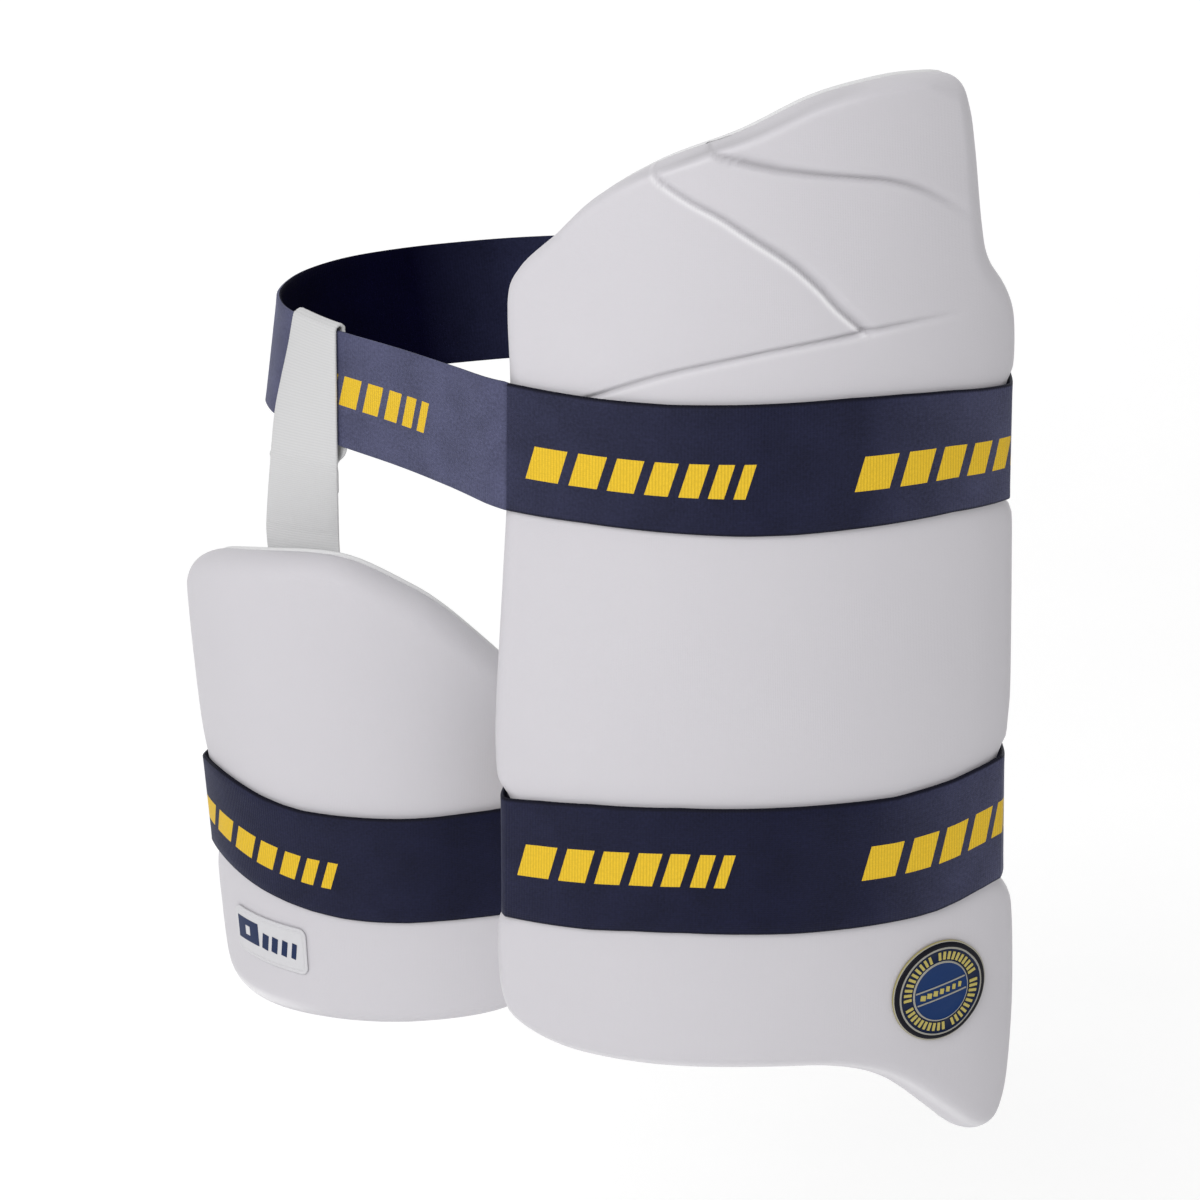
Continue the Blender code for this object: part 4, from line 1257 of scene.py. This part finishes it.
# stitches: round the backings, and where the webbing is sewn
stitchLook = {"pitch": 3.4, "length": 2.5, "thickness": 0.55, "inset": 5.0,
              "colour": (0.78, 0.78, 0.78)}
stitchFinish = makeSatin("stitchThread", stitchLook["colour"], 0.7)


def insetOutline(guard, inset):
    line = outlineOf(guard)["whole"]
    line = line[:-1]
    travel = np.roll(line, -1, 0) - np.roll(line, 1, 0)
    travel /= np.linalg.norm(travel, axis=1, keepdims=True)
    return line + inset * np.column_stack([-travel[:, 1], travel[:, 0]])


def sew(piece, line, closed):
    stitches = grow(stitchTree, {
        "Pitch": stitchLook["pitch"] * mm, "Length": stitchLook["length"] * mm,
        "Thickness": stitchLook["thickness"] * mm, "Thread": stitchFinish}, line, closed)
    addTo(piece, stitches, readPoints(stitches))


for lining, guard in ((outerLining, outerGuard), (innerLining, innerGuard)):
    seam = insetOutline(guard, stitchLook["inset"])
    sew(lining, placeOn(guard, seam[:, 0], seam[:, 1], -0.05), True)
low = webbingLook["entry"] - webbingLook["tail"]
box = smoothLine([(-56, low + 4), (-34, low + 4), (-34, low + 24), (-56, low + 24)], 1.0, closed=True)[0]
sew(hangerWebbing, placeOn(innerGuard, box[:, 0], box[:, 1], -webbingLook["gap"] - webbingLook["thickness"]),
    True)
print("stage: stitches sewn")


for piece, slotName, nodes in (
    (outerPad, "pale_cover", ["outer_pad"]),
    (innerPad, "pale_cover", ["inner_pad"]),
    (outerLining, "white_backing", ["outer_lining"]),
    (innerLining, "white_backing", ["inner_lining"]),
    (waistStrap, "navy_elastic", ["waist_strap"]),
    (outerThighStrap, "navy_elastic", ["outer_thigh_strap"]),
    (innerThighStrap, "navy_elastic", ["inner_thigh_strap"]),
    (hangerWebbing, "white_webbing", ["hanger_webbing"]),
    (roundBadge, "blue_patch", ["round_badge"]),
    (nameLabel, "white_label", ["name_label"]),
):
    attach(piece, "root")
    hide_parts(*nodes)

# stage, lights and camera
studio = {
    "floorHeight": -0.62,
    "backdrop": 1.6,
    "floorGlow": 0.57,
    "airGlow": 0.42,
    "target": (-0.02, -0.03, -0.07),
    "distance": 1.9,
    "lampSize": 1.0,
    # each lamp's angle to the right of the front, its height in degrees and its power
    "lamps": {"keyLamp": (-26, 35, 22.0), "sideLamp": (-80, 5, 1.6), "topLamp": (60, 65, 2.2)},
}


def addArea(name, power, spot, size, target):
    light = bpy.data.lights.new(name, "AREA")
    light.shape, light.size, light.energy = "DISK", size, power
    made = bpy.data.objects.new(name, light)
    bpy.context.scene.collection.objects.link(made)
    made.location = spot
    made.rotation_euler = (Vector(target) - Vector(spot)).to_track_quat("-Z", "Y").to_euler()
    return made


def makeStage(look):
    low, far, wide, bend = look["floorHeight"], look["backdrop"], 4.0, 0.6
    profile = [(-3.0, low)]
    for k in range(13):
        angle = math.pi / 2 * k / 12
        profile.append((far - bend + bend * math.sin(angle), low + bend - bend * math.cos(angle)))
    profile.append((far, 3.0))
    points = [(x, y, z) for y, z in profile for x in (-wide, wide)]
    faces = [(2 * k, 2 * k + 1, 2 * k + 3, 2 * k + 2) for k in range(len(profile) - 1)]
    finish, tree, shader = newFinish("palePaper", (0.55, 0.55, 0.55), **{"Roughness": 0.9})
    grain = addNode(tree, "ShaderNodeTexNoise", {"Scale": 60.0, "Detail": 4.0})
    tree.links.new(mixColour(tree, grain.outputs[0], (0.54, 0.54, 0.54), (0.56, 0.56, 0.56)),
                   shader.inputs["Base Color"])
    shader.inputs["Emission Color"].default_value = (1.0, 1.0, 1.0, 1.0)
    shader.inputs["Emission Strength"].default_value = look["floorGlow"]
    return makePiece("paperSweep", points, faces, [finish])


paperSweep = makeStage(studio)
for lampName, (turn, rise, power) in studio["lamps"].items():
    turn, rise = math.radians(turn), math.radians(rise)
    direction = Vector((math.sin(turn) * math.cos(rise), -math.cos(turn) * math.cos(rise), math.sin(rise)))
    spot = Vector(studio["target"]) + direction * studio["distance"]
    addArea(lampName, power, spot, studio["lampSize"], studio["target"])
world = bpy.data.worlds.new("studioAir")
world.use_nodes = True
world.node_tree.nodes["Background"].inputs[0].default_value = (1.0, 1.0, 1.0, 1.0)
world.node_tree.nodes["Background"].inputs[1].default_value = studio["airGlow"]
bpy.context.scene.world = world
bpy.context.scene.view_settings.view_transform = "Standard"

cameraLook = {"place": (-0.0173, -1.1592, 0.3278), "tilt": 70.0, "lens": 93.24}
cameraData = bpy.data.cameras.new("camera")
cameraData.lens, cameraData.sensor_width = cameraLook["lens"], 36.0
camera = bpy.data.objects.new("camera", cameraData)
camera.location = cameraLook["place"]
camera.rotation_euler = (math.radians(cameraLook["tilt"]), 0.0, 0.0)
bpy.context.scene.collection.objects.link(camera)
bpy.context.scene.camera = camera
print("stage: studio made")
